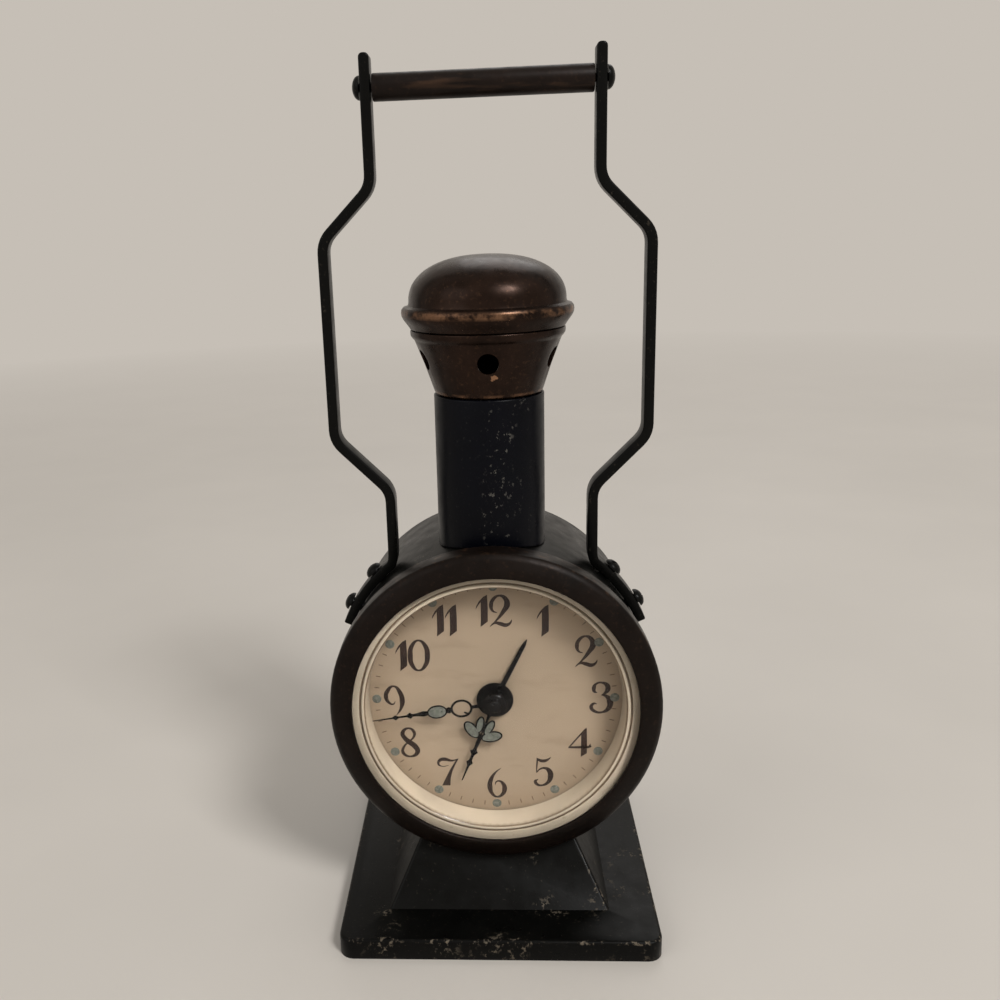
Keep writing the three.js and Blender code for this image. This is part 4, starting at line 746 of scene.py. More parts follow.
class CLOCK_OT_base(bpy.types.Operator):
    """Models the cast base: a square plate with a four-sided foot that cradles the drum"""

    bl_idname = "clock.base"
    bl_label = "Base"

    def tapered(self, name, bottom, top, low, high):
        """A square block, in millimetres, whose top is scaled to another side"""
        middle = (low + high) / 2 * MM
        made = block(name, Vector((bottom, bottom, high - low)) * MM, (0, 0, middle))
        edit(made)
        pick(made, lambda place: place.z > middle)
        share = top / bottom
        bpy.ops.transform.resize(value=(share, share, 1), center_override=(0, 0, high * MM))
        bpy.ops.object.mode_set(mode="OBJECT")
        return made

    def execute(self, context):
        side = (BASE_HIGH.x - BASE_LOW.x) / MM
        thick = 5.05
        top = thick * MM
        plate = self.tapered("base_casting", side, side, 0, thick)
        edit(plate)
        pick(plate, lambda a, b: abs(a.z - b.z) > top / 2, "EDGE")
        bpy.ops.mesh.bevel(offset=3.4 * MM, segments=6, affect="EDGES")
        pick(plate, lambda a, b: min(a.z, b.z) > top - 0.01 * MM, "EDGE")
        bpy.ops.mesh.bevel(offset=0.7 * MM, segments=4, affect="EDGES")
        close(plate)
        foot = softened(self.tapered("foot", 53.2, 34, thick - 1, 23.2), 0.6, 3)
        modify(plate, "BOOLEAN", operation="UNION", object=foot, solver="EXACT")
        bpy.data.objects.remove(foot)
        tools = [
            self.tapered("recess", 69.2, 69.2, -5, 2.45),
            self.tapered("hollow", 48, 35.5, 2.2, 16.1),
            drum_bore(),
            rod("bezel_room", 38.3, on_drum((0, 0), -60), on_drum((0, 0), -17.2), 112),
            rod("bolt_way", 2.3, (0, 0, 0), (0, 0, 25 * MM), 24),
        ]
        for tool in tools:
            cut(plate, tool)
        softened(plate, 0.3, 2)
        finish_piece(plate, enamelled_steel("base"), replaces=["base_shell"])
        return {"FINISHED"}


# Crystal, ring, dial and hands


class CLOCK_OT_crystal(bpy.types.Operator):
    """Models the domed crystal, 0.8 mm thick, its front a shallow sphere"""

    bl_idname = "clock.crystal"
    bl_label = "Crystal"

    def execute(self, context):
        edge, rise, front, thickness, rings = 34.6, 3.2, -26.4, 0.8, 16
        sphere = (edge**2 + rise**2) / (2 * rise)
        radii = [edge * i / rings for i in range(rings + 1)]
        outside = [(r, front + sphere - math.sqrt(sphere**2 - r**2)) for r in radii]
        inside = [(r, along + thickness) for r, along in reversed(outside)]
        crystal = turned("crystal_dome", outside + inside, ALONG_Y, HEAD, 0, open_ends=True)
        finish_piece(crystal, clock_crystal(), replaces=["crystal_lens"], smooth=50)
        return {"FINISHED"}


class CLOCK_OT_dial(bpy.types.Operator):
    """Models the cream ring and the dial card behind the crystal"""

    bl_idname = "clock.dial"
    bl_label = "Ring and dial"

    def execute(self, context):
        outside = [(34.6, -20.8), (34.6, -22.0), (31.2, -22.75)]
        groove = [(31.1, -22.25), (30.8, -22.25), (30.65, -22.85)]
        inside = [(30.1, -22.9), (29.8, -22.6), (29.5, -16.5), (30.5, -16.5), (31.7, -20.8)]
        rim = turned("dial_ring", [*outside, *groove, *inside], ALONG_Y, HEAD, 0.14)
        finish_piece(rim, cream_ring_enamel(), replaces=["dial_rim"])
        card = [(34.4, -16.2), (34.4, -15.6), (3.0, -15.6), (3.0, -16.2)]
        dial = turned("dial_card", card, ALONG_Y, HEAD, 0.08)
        places = [polar(24.8, angle) for angle in (135, 315)]
        feet = [rod("foot", 0.8, on_drum(at, -15.9), on_drum(at, -8.2), 16) for at in places]
        dial = merged([dial, *feet])
        finish_piece(dial, printed_dial_card(), replaces=["dial_plate"])
        return {"FINISHED"}


# Each numeral in a box 1000 high: its width, its pen strokes as (closed, [(across, up,
# half width), ...]), and the corners of its straight-sided parts
NUMERALS = {
    "0": (600, [
        (True, [
            (305, 970, 28), (510, 780, 68), (554, 490, 80), (490, 190, 62), (280, 15, 28),
            (90, 200, 66), (48, 490, 80), (100, 780, 62),
        ]),
    ], []),
    "1": (380, [], [
        [
            (370, 1000), (382, 600), (376, 170), (160, 0), (176, 210), (180, 770), (110, 680),
            (30, 540), (50, 650), (125, 790), (250, 930),
        ],
    ]),
    "2": (645, [
        (False, [
            (225, 440, 10), (105, 490, 32), (52, 660, 60), (130, 870, 50), (300, 965, 30),
            (460, 880, 66), (515, 690, 88), (400, 470, 62), (180, 180, 26), (10, 10, 10),
        ]),
        (False, [
            (10, 12, 12), (160, 120, 36), (310, 95, 60), (470, 50, 60), (600, 120, 32),
            (645, 220, 10),
        ]),
    ], []),
    "3": (660, [
        (False, [
            (225, 655, 10), (145, 690, 45), (125, 810, 62), (200, 945, 32), (360, 975, 30),
            (510, 890, 70), (530, 760, 78), (430, 620, 36), (345, 570, 12),
        ]),
        (False, [
            (345, 580, 12), (490, 540, 52), (600, 370, 96), (565, 160, 72), (370, 20, 32),
            (140, 60, 46), (50, 190, 58), (120, 300, 38), (220, 290, 10),
        ]),
    ], []),
    "4": (690, [
        (False, [(520, 930, 26), (270, 630, 24), (30, 325, 22)]),
    ], [
        [(545, 970), (555, 500), (550, 120), (368, 0), (376, 350), (380, 780)],
        [
            (0, 340), (0, 290), (300, 280), (600, 285), (690, 330), (650, 440), (600, 360),
            (100, 350),
        ],
    ]),
    "5": (550, [
        (False, [(85, 950, 10), (190, 865, 50), (320, 850, 52), (440, 905, 30), (515, 975, 8)]),
        (False, [(112, 920, 26), (92, 700, 22), (80, 450, 14)]),
        (False, [
            (80, 455, 12), (190, 575, 26), (335, 605, 40), (470, 500, 78), (500, 320, 86),
            (420, 120, 52), (230, 20, 30), (90, 60, 46), (45, 160, 50), (125, 225, 10),
        ]),
    ], []),
    "6": (560, [
        (False, [
            (425, 1000, 6), (250, 850, 30), (105, 590, 66), (75, 360, 80), (145, 120, 48),
            (285, 18, 28), (455, 110, 54), (520, 300, 76), (480, 460, 56), (355, 560, 28),
            (260, 520, 20), (235, 420, 8),
        ]),
    ], []),
    "7": (655, [
        (False, [
            (340, 690, 8), (140, 660, 16), (30, 740, 34), (90, 875, 52), (230, 900, 60),
            (440, 850, 32), (650, 915, 10),
        ]),
    ], [
        [
            (655, 930), (560, 750), (450, 500), (390, 250), (375, 10), (125, 10), (220, 220),
            (370, 530), (560, 860),
        ],
    ]),
    "8": (530, [
        (True, [
            (250, 965, 30), (70, 810, 62), (130, 640, 70), (270, 500, 84), (430, 360, 86),
            (500, 180, 74), (290, 20, 30), (60, 150, 52), (90, 340, 36), (250, 520, 22),
            (390, 660, 34), (420, 830, 50),
        ]),
    ], []),
    "9": (580, [
        (False, [
            (345, 0, 6), (485, 220, 42), (540, 460, 80), (490, 740, 70), (295, 960, 30),
            (110, 800, 64), (60, 610, 66), (140, 430, 42), (265, 375, 24), (335, 470, 8),
        ]),
    ], []),
}
NUMERAL_GAP = 45  # between the digits of ten and twelve; the ones of eleven overlap a little
ELEVEN_STEP = 375

# Middle of each hour's numeral: radius in millimetres and clockwise angle from twelve
HOUR_PLACES = {
    12: (21.9, 0), 1: (22.3, 30), 2: (24.2, 61), 3: (24.6, 90),
    4: (22.9, 120), 5: (22.2, 150), 6: (22.3, 180), 7: (22.3, 211),
    8: (23.5, 241), 9: (23.8, 269), 10: (22.1, 300), 11: (22.7, 330),
}


class CLOCK_OT_print(bpy.types.Operator):
    """Prints the hour numerals, the minute marks and the luminous hour dots on the dial"""

    bl_idname = "clock.print"
    bl_label = "Dial print"

    def numeral_parts(self, text, radius, angle, height):
        """Strokes and blades of one hour's numeral, centred on its place, in millimetres"""
        at_x, at_z = polar(radius, 90 - angle)
        unit = height / 1000
        starts = [0]
        for digit in text[:-1]:
            step = ELEVEN_STEP if text == "11" else NUMERALS[digit][0] + NUMERAL_GAP
            starts.append(starts[-1] + step)
        middle = (starts[-1] + NUMERALS[text[-1]][0]) / 2
        strokes, blades = [], []
        for digit, start in zip(text, starts):
            left = start - middle
            for closed, points in NUMERALS[digit][1]:
                line = [
                    (at_x + (left + x) * unit, at_z + (z - 500) * unit, half * unit)
                    for x, z, half in points
                ]
                strokes.append((closed, line))
            for corners in NUMERALS[digit][2]:
                blades.append(
                    [(at_x + (left + x) * unit, at_z + (z - 500) * unit) for x, z in corners]
                )
        return strokes, blades

    def execute(self, context):
        sizes = context.scene.clock_sizes
        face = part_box("dial_plate")[0].y
        depth = sizes.print_depth
        strokes, blades = [], []
        for hour, (radius, angle) in HOUR_PLACES.items():
            more = self.numeral_parts(str(hour), radius, angle, sizes.numeral_height / MM)
            strokes += more[0]
            blades += more[1]
        numerals = brushed_strokes("hour_numerals", strokes, face - depth, 2 * depth)
        front = (face - depth) / MM
        outlines = [[on_drum(corner, front) for corner in blade] for blade in blades]
        cuts = [slab("blade", outline, (0, 2 * depth, 0)) for outline in outlines]
        finish_piece(merged([numerals, *cuts]), printing_ink("ink"), smooth=60)

        # one mark and one dot are modelled at twelve and spun round in copies
        at = HEAD + Vector((0, face, sizes.tick_radius))
        ticks = block("minute_marks", (0.2 * MM, 2 * depth, sizes.tick_length), at)
        self.spun_round(ticks, 60, printing_ink("faded_ink"))
        select()
        bpy.ops.mesh.primitive_uv_sphere_add(
            segments=24, ring_count=8, radius=sizes.lume_dot_radius, location=at
        )
        settle()
        dots = named("hour_dots")
        edit(dots)
        bpy.ops.transform.resize(value=(1, 0.12, 1), center_override=at)
        self.spun_round(dots, 12, luminous_paint())
        return {"FINISHED"}

    def spun_round(self, piece, count, look):
        """Copies of a mesh at equal steps round the dial, finished as its print"""
        edit(piece)
        bpy.ops.mesh.spin(steps=count, angle=FULL_TURN, dupli=True, center=HEAD, axis=ALONG_Y)
        finish_piece(close(piece), look)


def oval(x, along, half_width, half_length, half_line, lean=0.0, knots=8):
    """A closed ellipse stroke on a hand, leaning by an angle in degrees"""
    side, up = Vector(polar(1, lean)), Vector(polar(1, lean + 90))
    line = []
    for i in range(knots):
        long, wide = polar(1, 360 * i / knots)
        point = Vector((x, along)) + half_width * wide * side + half_length * long * up
        line.append((*point, half_line))
    return (True, line)


def on_hand(strokes, angle):
    """Strokes drawn up from the centre, turned clockwise to a hand's angle"""
    cos, sin = polar(1, angle)
    return [
        (closed, [(x * cos + z * sin, z * cos - x * sin, half) for x, z, half in points])
        for closed, points in strokes
    ]


# For each hand: its clockwise angle, its face's depth, its hub's radius and bore, its body
MINUTE_HAND = (261.6, -19.3, 2.7, 1.1, "minute_motion")
HOUR_HAND = (201.8, -18.3, 3.2, 1.9, "hour_motion")
ALARM_HAND = (26.6, -17.3, 4.3, 2.7, "alarm_indicator")

# The minute hand's spear loop: place across and along, half width, half length, lean
LOOP = (0, 13.6, 1.4, 2.1, 0)
# The hour hand's petals, in the same order
PETALS = [
    (2.5, 8.7, 1.1, 2.25, 58),
    (1.15, 6.8, 0.72, 1.9, 8),
    (-1.15, 6.8, 0.72, 1.9, -8),
    (-2.5, 8.7, 1.1, 2.25, -58),
]


class CLOCK_OT_hands(bpy.types.Operator):
    """Models the three hands, the luminous fills of two of them, and the glossy boss"""

    bl_idname = "clock.hands"
    bl_label = "Hands"

    def hand(self, node, strokes, loops, angle, face, hub, bore, body):
        """A hand 0.4 mm thick from its strokes and hub, with paint bridging its open loops"""
        turned_strokes = on_hand(strokes, angle)
        blade = brushed_strokes(node + "_blade", turned_strokes, face * MM, 0.4 * MM)
        profile = [(hub, face), (hub, face + 0.4), (bore, face + 0.4), (bore, face)]
        disc = turned("hub", profile, ALONG_Y, HEAD, 0.08, steps=48)
        finish_piece(merged([blade, disc]), hand_enamel(), body, [node])
        fills = []
        for x, along, wide, long, lean in loops:
            edge = oval(x, along, wide - 0.05, long - 0.05, 0, lean, 20)
            ((_, points),) = on_hand([edge], angle)
            outline = [on_drum((x, z), face + 0.1) for x, z, _ in points]
            fills.append(slab(node + "_fill", outline, (0, 0.2 * MM, 0)))
        if fills:
            finish_piece(merged(fills), luminous_paint(), body)

    def execute(self, context):
        stem = [(0, 2.4, 0.6), (0, 3.6, 0.5), (0, 4.9, 0.42), (0, 5.7, 0.4)]
        barb = [(-1.7, 6.6, 0.25), (-1.35, 6.9, 0.25), (-1.0, 7.4, 0.2)]
        knot = [(0, 10.0, 0.45), (0, 10.8, 0.85), (0, 11.6, 0.5)]
        root = [(0, 11.7, 0.4), (0, 12.7, 0.45), (0, 13.3, 0.15)]
        point = [
            (0, 15.7, 0.5), (0, 16.9, 0.72), (0, 18.4, 0.4), (0, 19.4, 0.34), (0, 20.0, 0.8),
            (0, 20.9, 0.28), (0, 22.8, 0.26), (0, 23.5, 0.65), (0, 24.3, 0.22), (0, 29.0, 0.1),
        ]
        minute = [(False, stem), oval(0, 7.85, 2.0, 2.3, 0.28), (False, barb), (False, knot)]
        minute += [oval(*LOOP[:4], 0.28), (False, root), (False, point)]
        self.hand("minute_hand", minute, [LOOP], *MINUTE_HAND)

        stem = [(0, 2.6, 0.6), (0, 4.8, 0.3), (0, 8.6, 0.16), (0, 10.4, 0.5)]
        point = [
            (0, 9.8, 0.4), (0, 11.2, 0.5), (0, 12.9, 0.38), (0, 13.4, 0.5), (0, 13.9, 0.98),
            (0, 14.9, 0.36), (0, 16.3, 0.36), (0, 16.9, 0.85), (0, 17.9, 0.3), (0, 22.0, 0.13),
        ]
        petals = [oval(*petal[:4], 0.3, petal[4]) for petal in PETALS]
        self.hand("hour_hand", [(False, stem), (False, point), *petals], PETALS, *HOUR_HAND)

        stem = [(0, 2.9, 0.62), (0, 9.0, 0.56), (0, 15.4, 0.46), (0, 16.9, 0.12)]
        self.hand("alarm_hand", [(False, stem)], [], *ALARM_HAND)

        dome = [(0, -21.6), (0.9, -21.45), (1.5, -21.05), (1.8, -20.6), (1.85, -20.4)]
        step = [(2.4, -20.35), (2.75, -20.1), (2.9, -19.8), (2.9, -19.6), (0, -19.6)]
        boss = turned("boss_cap", dome + step, ALONG_Y, HEAD, 0.12, steps=64, open_ends=True)
        finish_piece(boss, hand_enamel(), "minute_motion", ["hand_boss"])
        return {"FINISHED"}


# Chimney, cowl and cap


class CLOCK_OT_chimney(bpy.types.Operator):
    """Models the chimney, a tube saddled to the drum and rounded at its top"""

    bl_idname = "clock.chimney"
    bl_label = "Chimney"

    def execute(self, context):
        profile = [(12.55, 84), (12.55, 126), (11.45, 126), (11.45, 84)]
        chimney = turned("chimney_pipe", profile, ALONG_Z, LAMP, 0.35)
        cut(chimney, drum_bore())
        finish_piece(chimney, enamelled_steel("navy"), replaces=["chimney_tube"])
        return {"FINISHED"}


VENTS = 5
VENT_HEIGHT = 134.2
VENT_RADIUS = 2.33


class CLOCK_OT_cap(bpy.types.Operator):
    """Models the pierced cowl and the domed cap with its rolled bead"""

    bl_idname = "clock.cap"
    bl_label = "Cowl and cap"

    def execute(self, context):
        collar = [(11.15, 120.3), (11.15, 126.3), (12.2, 126.3), (12.45, 127.0)]
        flare = [(14.45, 133.0), (16.55, 138.4), (17.1, 139.0), (17.4, 139.5), (17.4, 140.6)]
        inside = [(16.1, 140.6), (11.3, 127.2), (1.8, 127.2), (1.8, 126.3), (10.25, 126.3)]
        cone = [*collar, *flare, *inside, (10.25, 120.3)]
        cowl = turned("cowl_cone", cone, ALONG_Z, LAMP, 0.3)
        middle = LAMP + VENT_HEIGHT * MM * ALONG_Z
        ends = [middle + Vector((*polar(22, 360 * i / VENTS - 90), 0)) * MM for i in range(VENTS)]
        cut(cowl, *(rod("vent", VENT_RADIUS, middle, end, 32) for end in ends))
        softened(cowl, 0.14, 2, 0.9)
        look = lacquered_bronze("cap_brown")
        finish_piece(cowl, look, replaces=["vent_cowl"])

        # the dome is fuller than an ellipse: its shoulders are pressed out square
        rise, fullness = 10.0, 0.88
        outer = []
        for angle in range(0, 91, 5):
            up, across = (part**fullness for part in polar(1, angle))
            outer.append((17.6 * across, 146.5 + (rise + 0.1) * up))
        # the bead rolls over at the dome's foot and draws in to the cowl's lip
        bead = [
            (17.75, 146.0), (18.15, 145.75), (18.8, 145.6), (19.2, 145.1), (19.3, 144.4),
            (19.2, 143.7), (18.8, 142.9), (18.2, 142.1), (17.7, 141.4), (17.4, 140.9),
        ]
        # a short spigot inside the cowl's lip, so that no light shows between the two
        spigot = [(15.45, 140.9), (15.45, 139.7), (15.0, 139.7), (15.0, 142.5), (16.1, 143.2)]
        inner = []
        for angle in range(90, -1, -10):
            up, across = polar(1, angle)
            inner.append((16.1 * across, 145.6 + rise * up))
        profile = [*outer, *bead, *spigot, *inner]
        dome = turned("cap_shell", profile, ALONG_Z, LAMP, 0, open_ends=True)
        finish_piece(dome, look, replaces=["cap_dome"])
        return {"FINISHED"}


# Bail handle


def domed_head(name, radius, height, shank, reach, slotted):
    """A round-headed screw or pin standing on the origin, its head up"""
    quarter = [polar(1, angle) for angle in range(0, 91, 15)]
    dome = [(radius * across, height * up) for up, across in quarter]
    profile = [*dome, (radius, 0), (shank, 0), (shank, -reach), (0, -reach)]
    head = turned(name, profile, ALONG_Z, (0, 0, 0), 0, steps=40, open_ends=True)
    if slotted:
        size = Vector((3 * radius, 0.55, 1.1)) * MM
        cut(head, block("slot", size, (0, 0, height * MM)))
    return head


GRIP_HEIGHT = 191.6
STRAP_MIDDLE = 24.775  # of the upright arms, to each side of the chimney's axis
STRAP_THICKNESS = 2.25
STRAP_WIDTH = 5.0
STRAP_SCREW_ANGLES = (46.1, 60.2)  # round the drum from its top


class CLOCK_OT_bail(bpy.types.Operator):
    """Models the two bent straps, the grip rod, its pins and the strap screws"""

    bl_idname = "clock.bail"
    bl_label = "Bail handle"

    def strap_line(self):
        """The strap's middle line at +X, with its bends rounded, in millimetres"""
        tail, low, ease = 38.125, 23.575, 2.6

        def round_drum(angle):
            return (tail * math.sin(angle), HEAD.z / MM + tail * math.cos(angle))

        foot = math.asin(low / tail)
        bend = foot + ease / tail
        end = math.radians(67.5)
        arm = [(STRAP_MIDDLE, 198.3), (STRAP_MIDDLE, 171.4), (35.925, 160.25), (35.925, 115.65)]
        corners = [*arm, (low, 103.3), round_drum(foot), round_drum(bend)]
        line = eased(corners, ease, 5, closed=False)
        for i in range(1, 9):
            line.append(Vector(round_drum(bend + (end - bend) * i / 8)))
        return line

    def strap(self, name, side, node):
        """One flat strap: its line extruded to a ribbon, its tip rounded, then thickened"""
        front = LAMP.y - STRAP_WIDTH / 2 * MM
        points = [Vector((side * x * MM, front, z * MM)) for x, z in self.strap_line()]
        strap = drawn(name, points)
        width = (0, STRAP_WIDTH * MM, 0)
        bpy.ops.mesh.extrude_edges_move(TRANSFORM_OT_translate={"value": width})
        top = points[0].z
        pick(strap, lambda place: place.z > top - 0.01 * MM)
        bpy.ops.mesh.bevel(offset=2.4 * MM, segments=7, affect="VERTICES")
        close(strap)
        modify(
            strap, "SOLIDIFY", thickness=STRAP_THICKNESS * MM, offset=0, use_even_offset=True
        )
        edit(strap)
        close(strap)
        edit(strap)
        faces = [(STRAP_MIDDLE + part * STRAP_THICKNESS / 2) * MM for part in (-1, 1)]

        def on_rim(a, b):
            near = [max(abs(abs(end.x) - face) for end in (a, b)) for face in faces]
            return min(near) < 0.01 * MM and min(a.z, b.z) > top - 4 * MM

        pick(strap, on_rim, "EDGE")
        bpy.ops.mesh.bevel(offset=0.9 * MM, segments=4, affect="EDGES")
        close(strap)
        ease = bpy.context.scene.clock_sizes.paint_round / MM
        softened(strap, ease, 3, math.radians(50))
        finish_piece(strap, enamelled_steel("black"), replaces=[node])

    def execute(self, context):
        self.strap("strap_right", 1, "bail_strap_right")
        self.strap("strap_left", -1, "bail_strap_left")

        profile = [(2.85, -23.35), (2.85, 23.35), (1.2, 23.35), (1.2, -23.35)]
        grip = turned("grip_bar", profile, ALONG_Z, (0, 0, 0), 0.3, steps=64)
        middle = LAMP + GRIP_HEIGHT * MM * ALONG_Z
        grip.matrix_world = Matrix.Translation(middle) @ Matrix.Rotation(QUARTER_TURN, 4, "Y")
        finish_piece(grip, lacquered_bronze("grip_brown"), replaces=["grip_rod"])

        paint = enamelled_steel("black")
        pin = domed_head("pin", 2.5, 1.5, 0.9, 8.85, False)
        screw = domed_head("screw", 2.2, 1.5, 1.2, 7.0, True)
        for side, word in ((-1, "left"), (1, "right")):
            at = Matrix.Translation(middle + Vector((side * 26.2 * MM, 0, 0)))
            turn = Matrix.Rotation(side * QUARTER_TURN, 4, "Y")
            made = copied(pin, "grip_rivet_" + word, at @ turn)
            finish_piece(made, paint, replaces=["grip_pin_" + word])
            for i, angle in enumerate(STRAP_SCREW_ANGLES):
                seat = on_drum(polar(39.55, 90 - side * angle), LAMP.y / MM)
                turn = Matrix.Rotation(math.radians(side * angle), 4, "Y")
                # each slot was left at its own angle when the screw bit
                bite = Matrix.Rotation(math.radians(35 + 50 * i * side), 4, "Z")
                where = Matrix.Translation(seat) @ turn @ bite
                made = copied(screw, f"strap_bolt_{word}_{i + 1}", where)
                node = f"strap_screw_{word}_{i + 1}"
                finish_piece(made, paint, replaces=[node])
        for pattern in (pin, screw):
            bpy.data.objects.remove(pattern)
        return {"FINISHED"}


# Back of the clock


GREAT_AT = (-10.18, -10.18)
ALARM_AT = (12.95, -12.5)
SET_AT = (11.28, 4.1)
STOP_AT = (-14.09, 20.89)
BALANCE_AT = (11.73, 22.83)
HAMMER_AT = (19.64, 3.4)
POST_RADIUS = 1.5
COVER_SCREWS = [polar(27, angle) for angle in (30, 150, 270)]


def summed(first, second):
    """Two flat places added"""
    return (first[0] + second[0], first[1] + second[1])


class CLOCK_OT_back(bpy.types.Operator):
    """Models the back cover, with its rolled edge, raised rings, holes and screws"""

    bl_idname = "clock.back"
    bl_label = "Back cover"

    def regulator_slot(self):
        """The curved slot that the regulator's tab moves in"""
        middle, half = 7.0, 1.3
        first, last = 170, 230
        arcs = [
            ((0, 0), middle + half, range(first, last, 4)),
            (polar(middle, last), half, range(last, last + 180, 20)),
            ((0, 0), middle - half, range(last, first, -4)),
            (polar(middle, first), half, range(first + 180, first + 360, 20)),
        ]
        line = [summed(at, polar(radius, a)) for at, radius, angles in arcs for a in angles]
        outline = [on_drum(summed(BALANCE_AT, point), 17) for point in line]
        return slab("slot", outline, (0, 5 * MM, 0))

    def post_at(self):
        """Where the post stands that the alarm's hammer strikes"""
        arm_angle, arm_length = 97, 13
        head_radius, gap = 2.2, 1.7
        head = summed(HAMMER_AT, polar(arm_length, arm_angle))
        return summed(head, polar(head_radius + gap + POST_RADIUS, arm_angle + 90))

    def execute(self, context):
        edge = [(0, 18.6), (35.2, 18.6), (35.2, 19.8), (34.4, 19.8), (33.6, 19.4)]
        rings = [(31.0, 19.4), (30.4, 19.8), (24.6, 19.8), (0, 19.8)]
        cover = turned("back_plate", edge + rings, ALONG_Y, HEAD, 0.3, open_ends=True)
        ways = [(at, 1.4) for at in ((0, 0), GREAT_AT, ALARM_AT, SET_AT)]
        ways += [(STOP_AT, 1.6), *((at, 1.1) for at in COVER_SCREWS)]
        tools = [rod("way", radius, on_drum(at, 17), on_drum(at, 22), 32) for at, radius in ways]
        cut(cover, *tools, self.regulator_slot())
        softened(cover, 0.12, 2, 0.9)
        tip, root = (on_drum(self.post_at(), along) for along in (11.8, 18.9))
        cover = merged([cover, rod("post", POST_RADIUS, tip, root, 24)])
        finish_piece(cover, bare_metal("brass"), replaces=["rear_cover"])

        pattern = domed_head("cover_screw", 2.0, 1.1, 0.8, 5.8, True)
        for i, at in enumerate(COVER_SCREWS):
            bite = Matrix.Rotation(math.radians(20 + 47 * i), 4, "Z")
            turn = Matrix.Rotation(-QUARTER_TURN, 4, "X")
            where = Matrix.Translation(on_drum(at, 20.1)) @ turn @ bite
            made = copied(pattern, f"cover_bolt_{i + 1}", where)
            node = f"rear_cover_screw_{i + 1}"
            finish_piece(made, bare_metal("steel"), replaces=[node])
        bpy.data.objects.remove(pattern)
        return {"FINISHED"}


class CLOCK_OT_controls(bpy.types.Operator):
    """Models the two winding keys, the two setting knobs and the alarm stop button"""

    bl_idname = "clock.controls"
    bl_label = "Keys, knobs and button"

    def key(self, name, at, degrees, body, node):
        """A winding key: a bored hub and a pair of rounded wings pressed from one plate"""
        half = [
            (0.13, 0), (0.5, 0.02), (0.78, 0.09), (0.94, 0.27), (1, 0.55), (0.94, 0.82),
            (0.74, 0.98), (0.45, 0.94), (0.24, 0.76), (0.1, 0.66),
        ]
        right = [(x * 9, 24.3 + y * 8.5) for x, y in half]
        left = [(-x, y) for x, y in reversed(right)]
        line = eased([*right, *left], 1.2, 3)
        outline = [Vector((x * MM, y * MM, -0.75 * MM)) for x, y in line]
        wings = softened(slab(name, outline, (0, 0, 1.5 * MM)), 0.4, 3, 0.8)
        hub = [(2.6, 20.8), (2.6, 24.6), (2.0, 25.8), (0, 25.8)]
        bored = [(0, 23.8), (1.1, 23.8), (1.1, 20.8)]
        core = turned("hub", [*bored, *hub], ALONG_Y, (0, 0, 0), 0.2, steps=48, open_ends=True)
        piece = merged([wings, core])
        turn = Matrix.Rotation(math.radians(degrees), 4, "Y")
        piece.matrix_world = Matrix.Translation(on_drum(at)) @ turn
        finish_piece(piece, bare_metal("key_brass"), body, [node])

    def knob(self, name, at, radius, body, node):
        """A setting knob with ten flutes and a rounded end"""
        count, flutes = 80, 10
        line = []
        for i in range(count):
            angle = 360 * i / count
            depth = 0.45 * max(0.0, math.cos(math.radians(flutes * angle))) ** 0.7
            line.append(summed(at, polar(radius - depth, angle)))
        piece = slab(name, [on_drum(point, 20.8) for point in line], (0, 5.5 * MM, 0))
        cut(piece, rod("bore", 1.1, on_drum(at, 15), on_drum(at, 26.0), 24))
        softened(piece, 0.35, 3, 1.0)
        finish_piece(piece, bare_metal("key_brass"), body, [node])

    def execute(self, context):
        self.key("time_wing_key", GREAT_AT, 20, "time_winding", "time_winding_key")
        self.key("alarm_wing_key", ALARM_AT, -15, "alarm_winding", "alarm_winding_key")
        self.knob("hand_setting_knob", (0, 0), 4.3, "minute_motion", "time_setting_knob")
        self.knob("alarm_dial_knob", SET_AT, 3.4, "alarm_setting", "alarm_setting_knob")
        shank, head = [(0, 13.6), (1.3, 13.6), (1.3, 23.1)], [(2.6, 23.1), (2.6, 25.2)]
        profile = [*shank, *head, (2.1, 25.9), (0, 26.1)]
        stop = turned("stop_button", profile, ALONG_Y, on_drum(STOP_AT), 0.25, 48, True)
        body = "alarm_stop_button"
        finish_piece(stop, bare_metal("key_brass"), body, ["alarm_stop_button"])
        return {"FINISHED"}


BRASS_NODES = {
    "front_plate", "rear_plate", "minute_wheel", "hour_wheel", "alarm_wheel", "time_barrel",
    "alarm_barrel", "centre_wheel", "third_wheel", "fourth_wheel", "escape_wheel",
    "alarm_star_wheel", "balance_wheel",
}


class CLOCK_OT_movement(bpy.types.Operator):
    """Gives the movement, the inner bolts and the felt pad their materials"""

    bl_idname = "clock.movement"
    bl_label = "Movement"

    def execute(self, context):
        for name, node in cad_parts.items():
            if node.hide_render:
                continue
            metal = bare_metal("brass" if name in BRASS_NODES else "steel")
            node.data.materials.clear()
            node.data.materials.append(wool_felt() if name == "base_felt_pad" else metal)
        return {"FINISHED"}


# Floor, lamps and camera


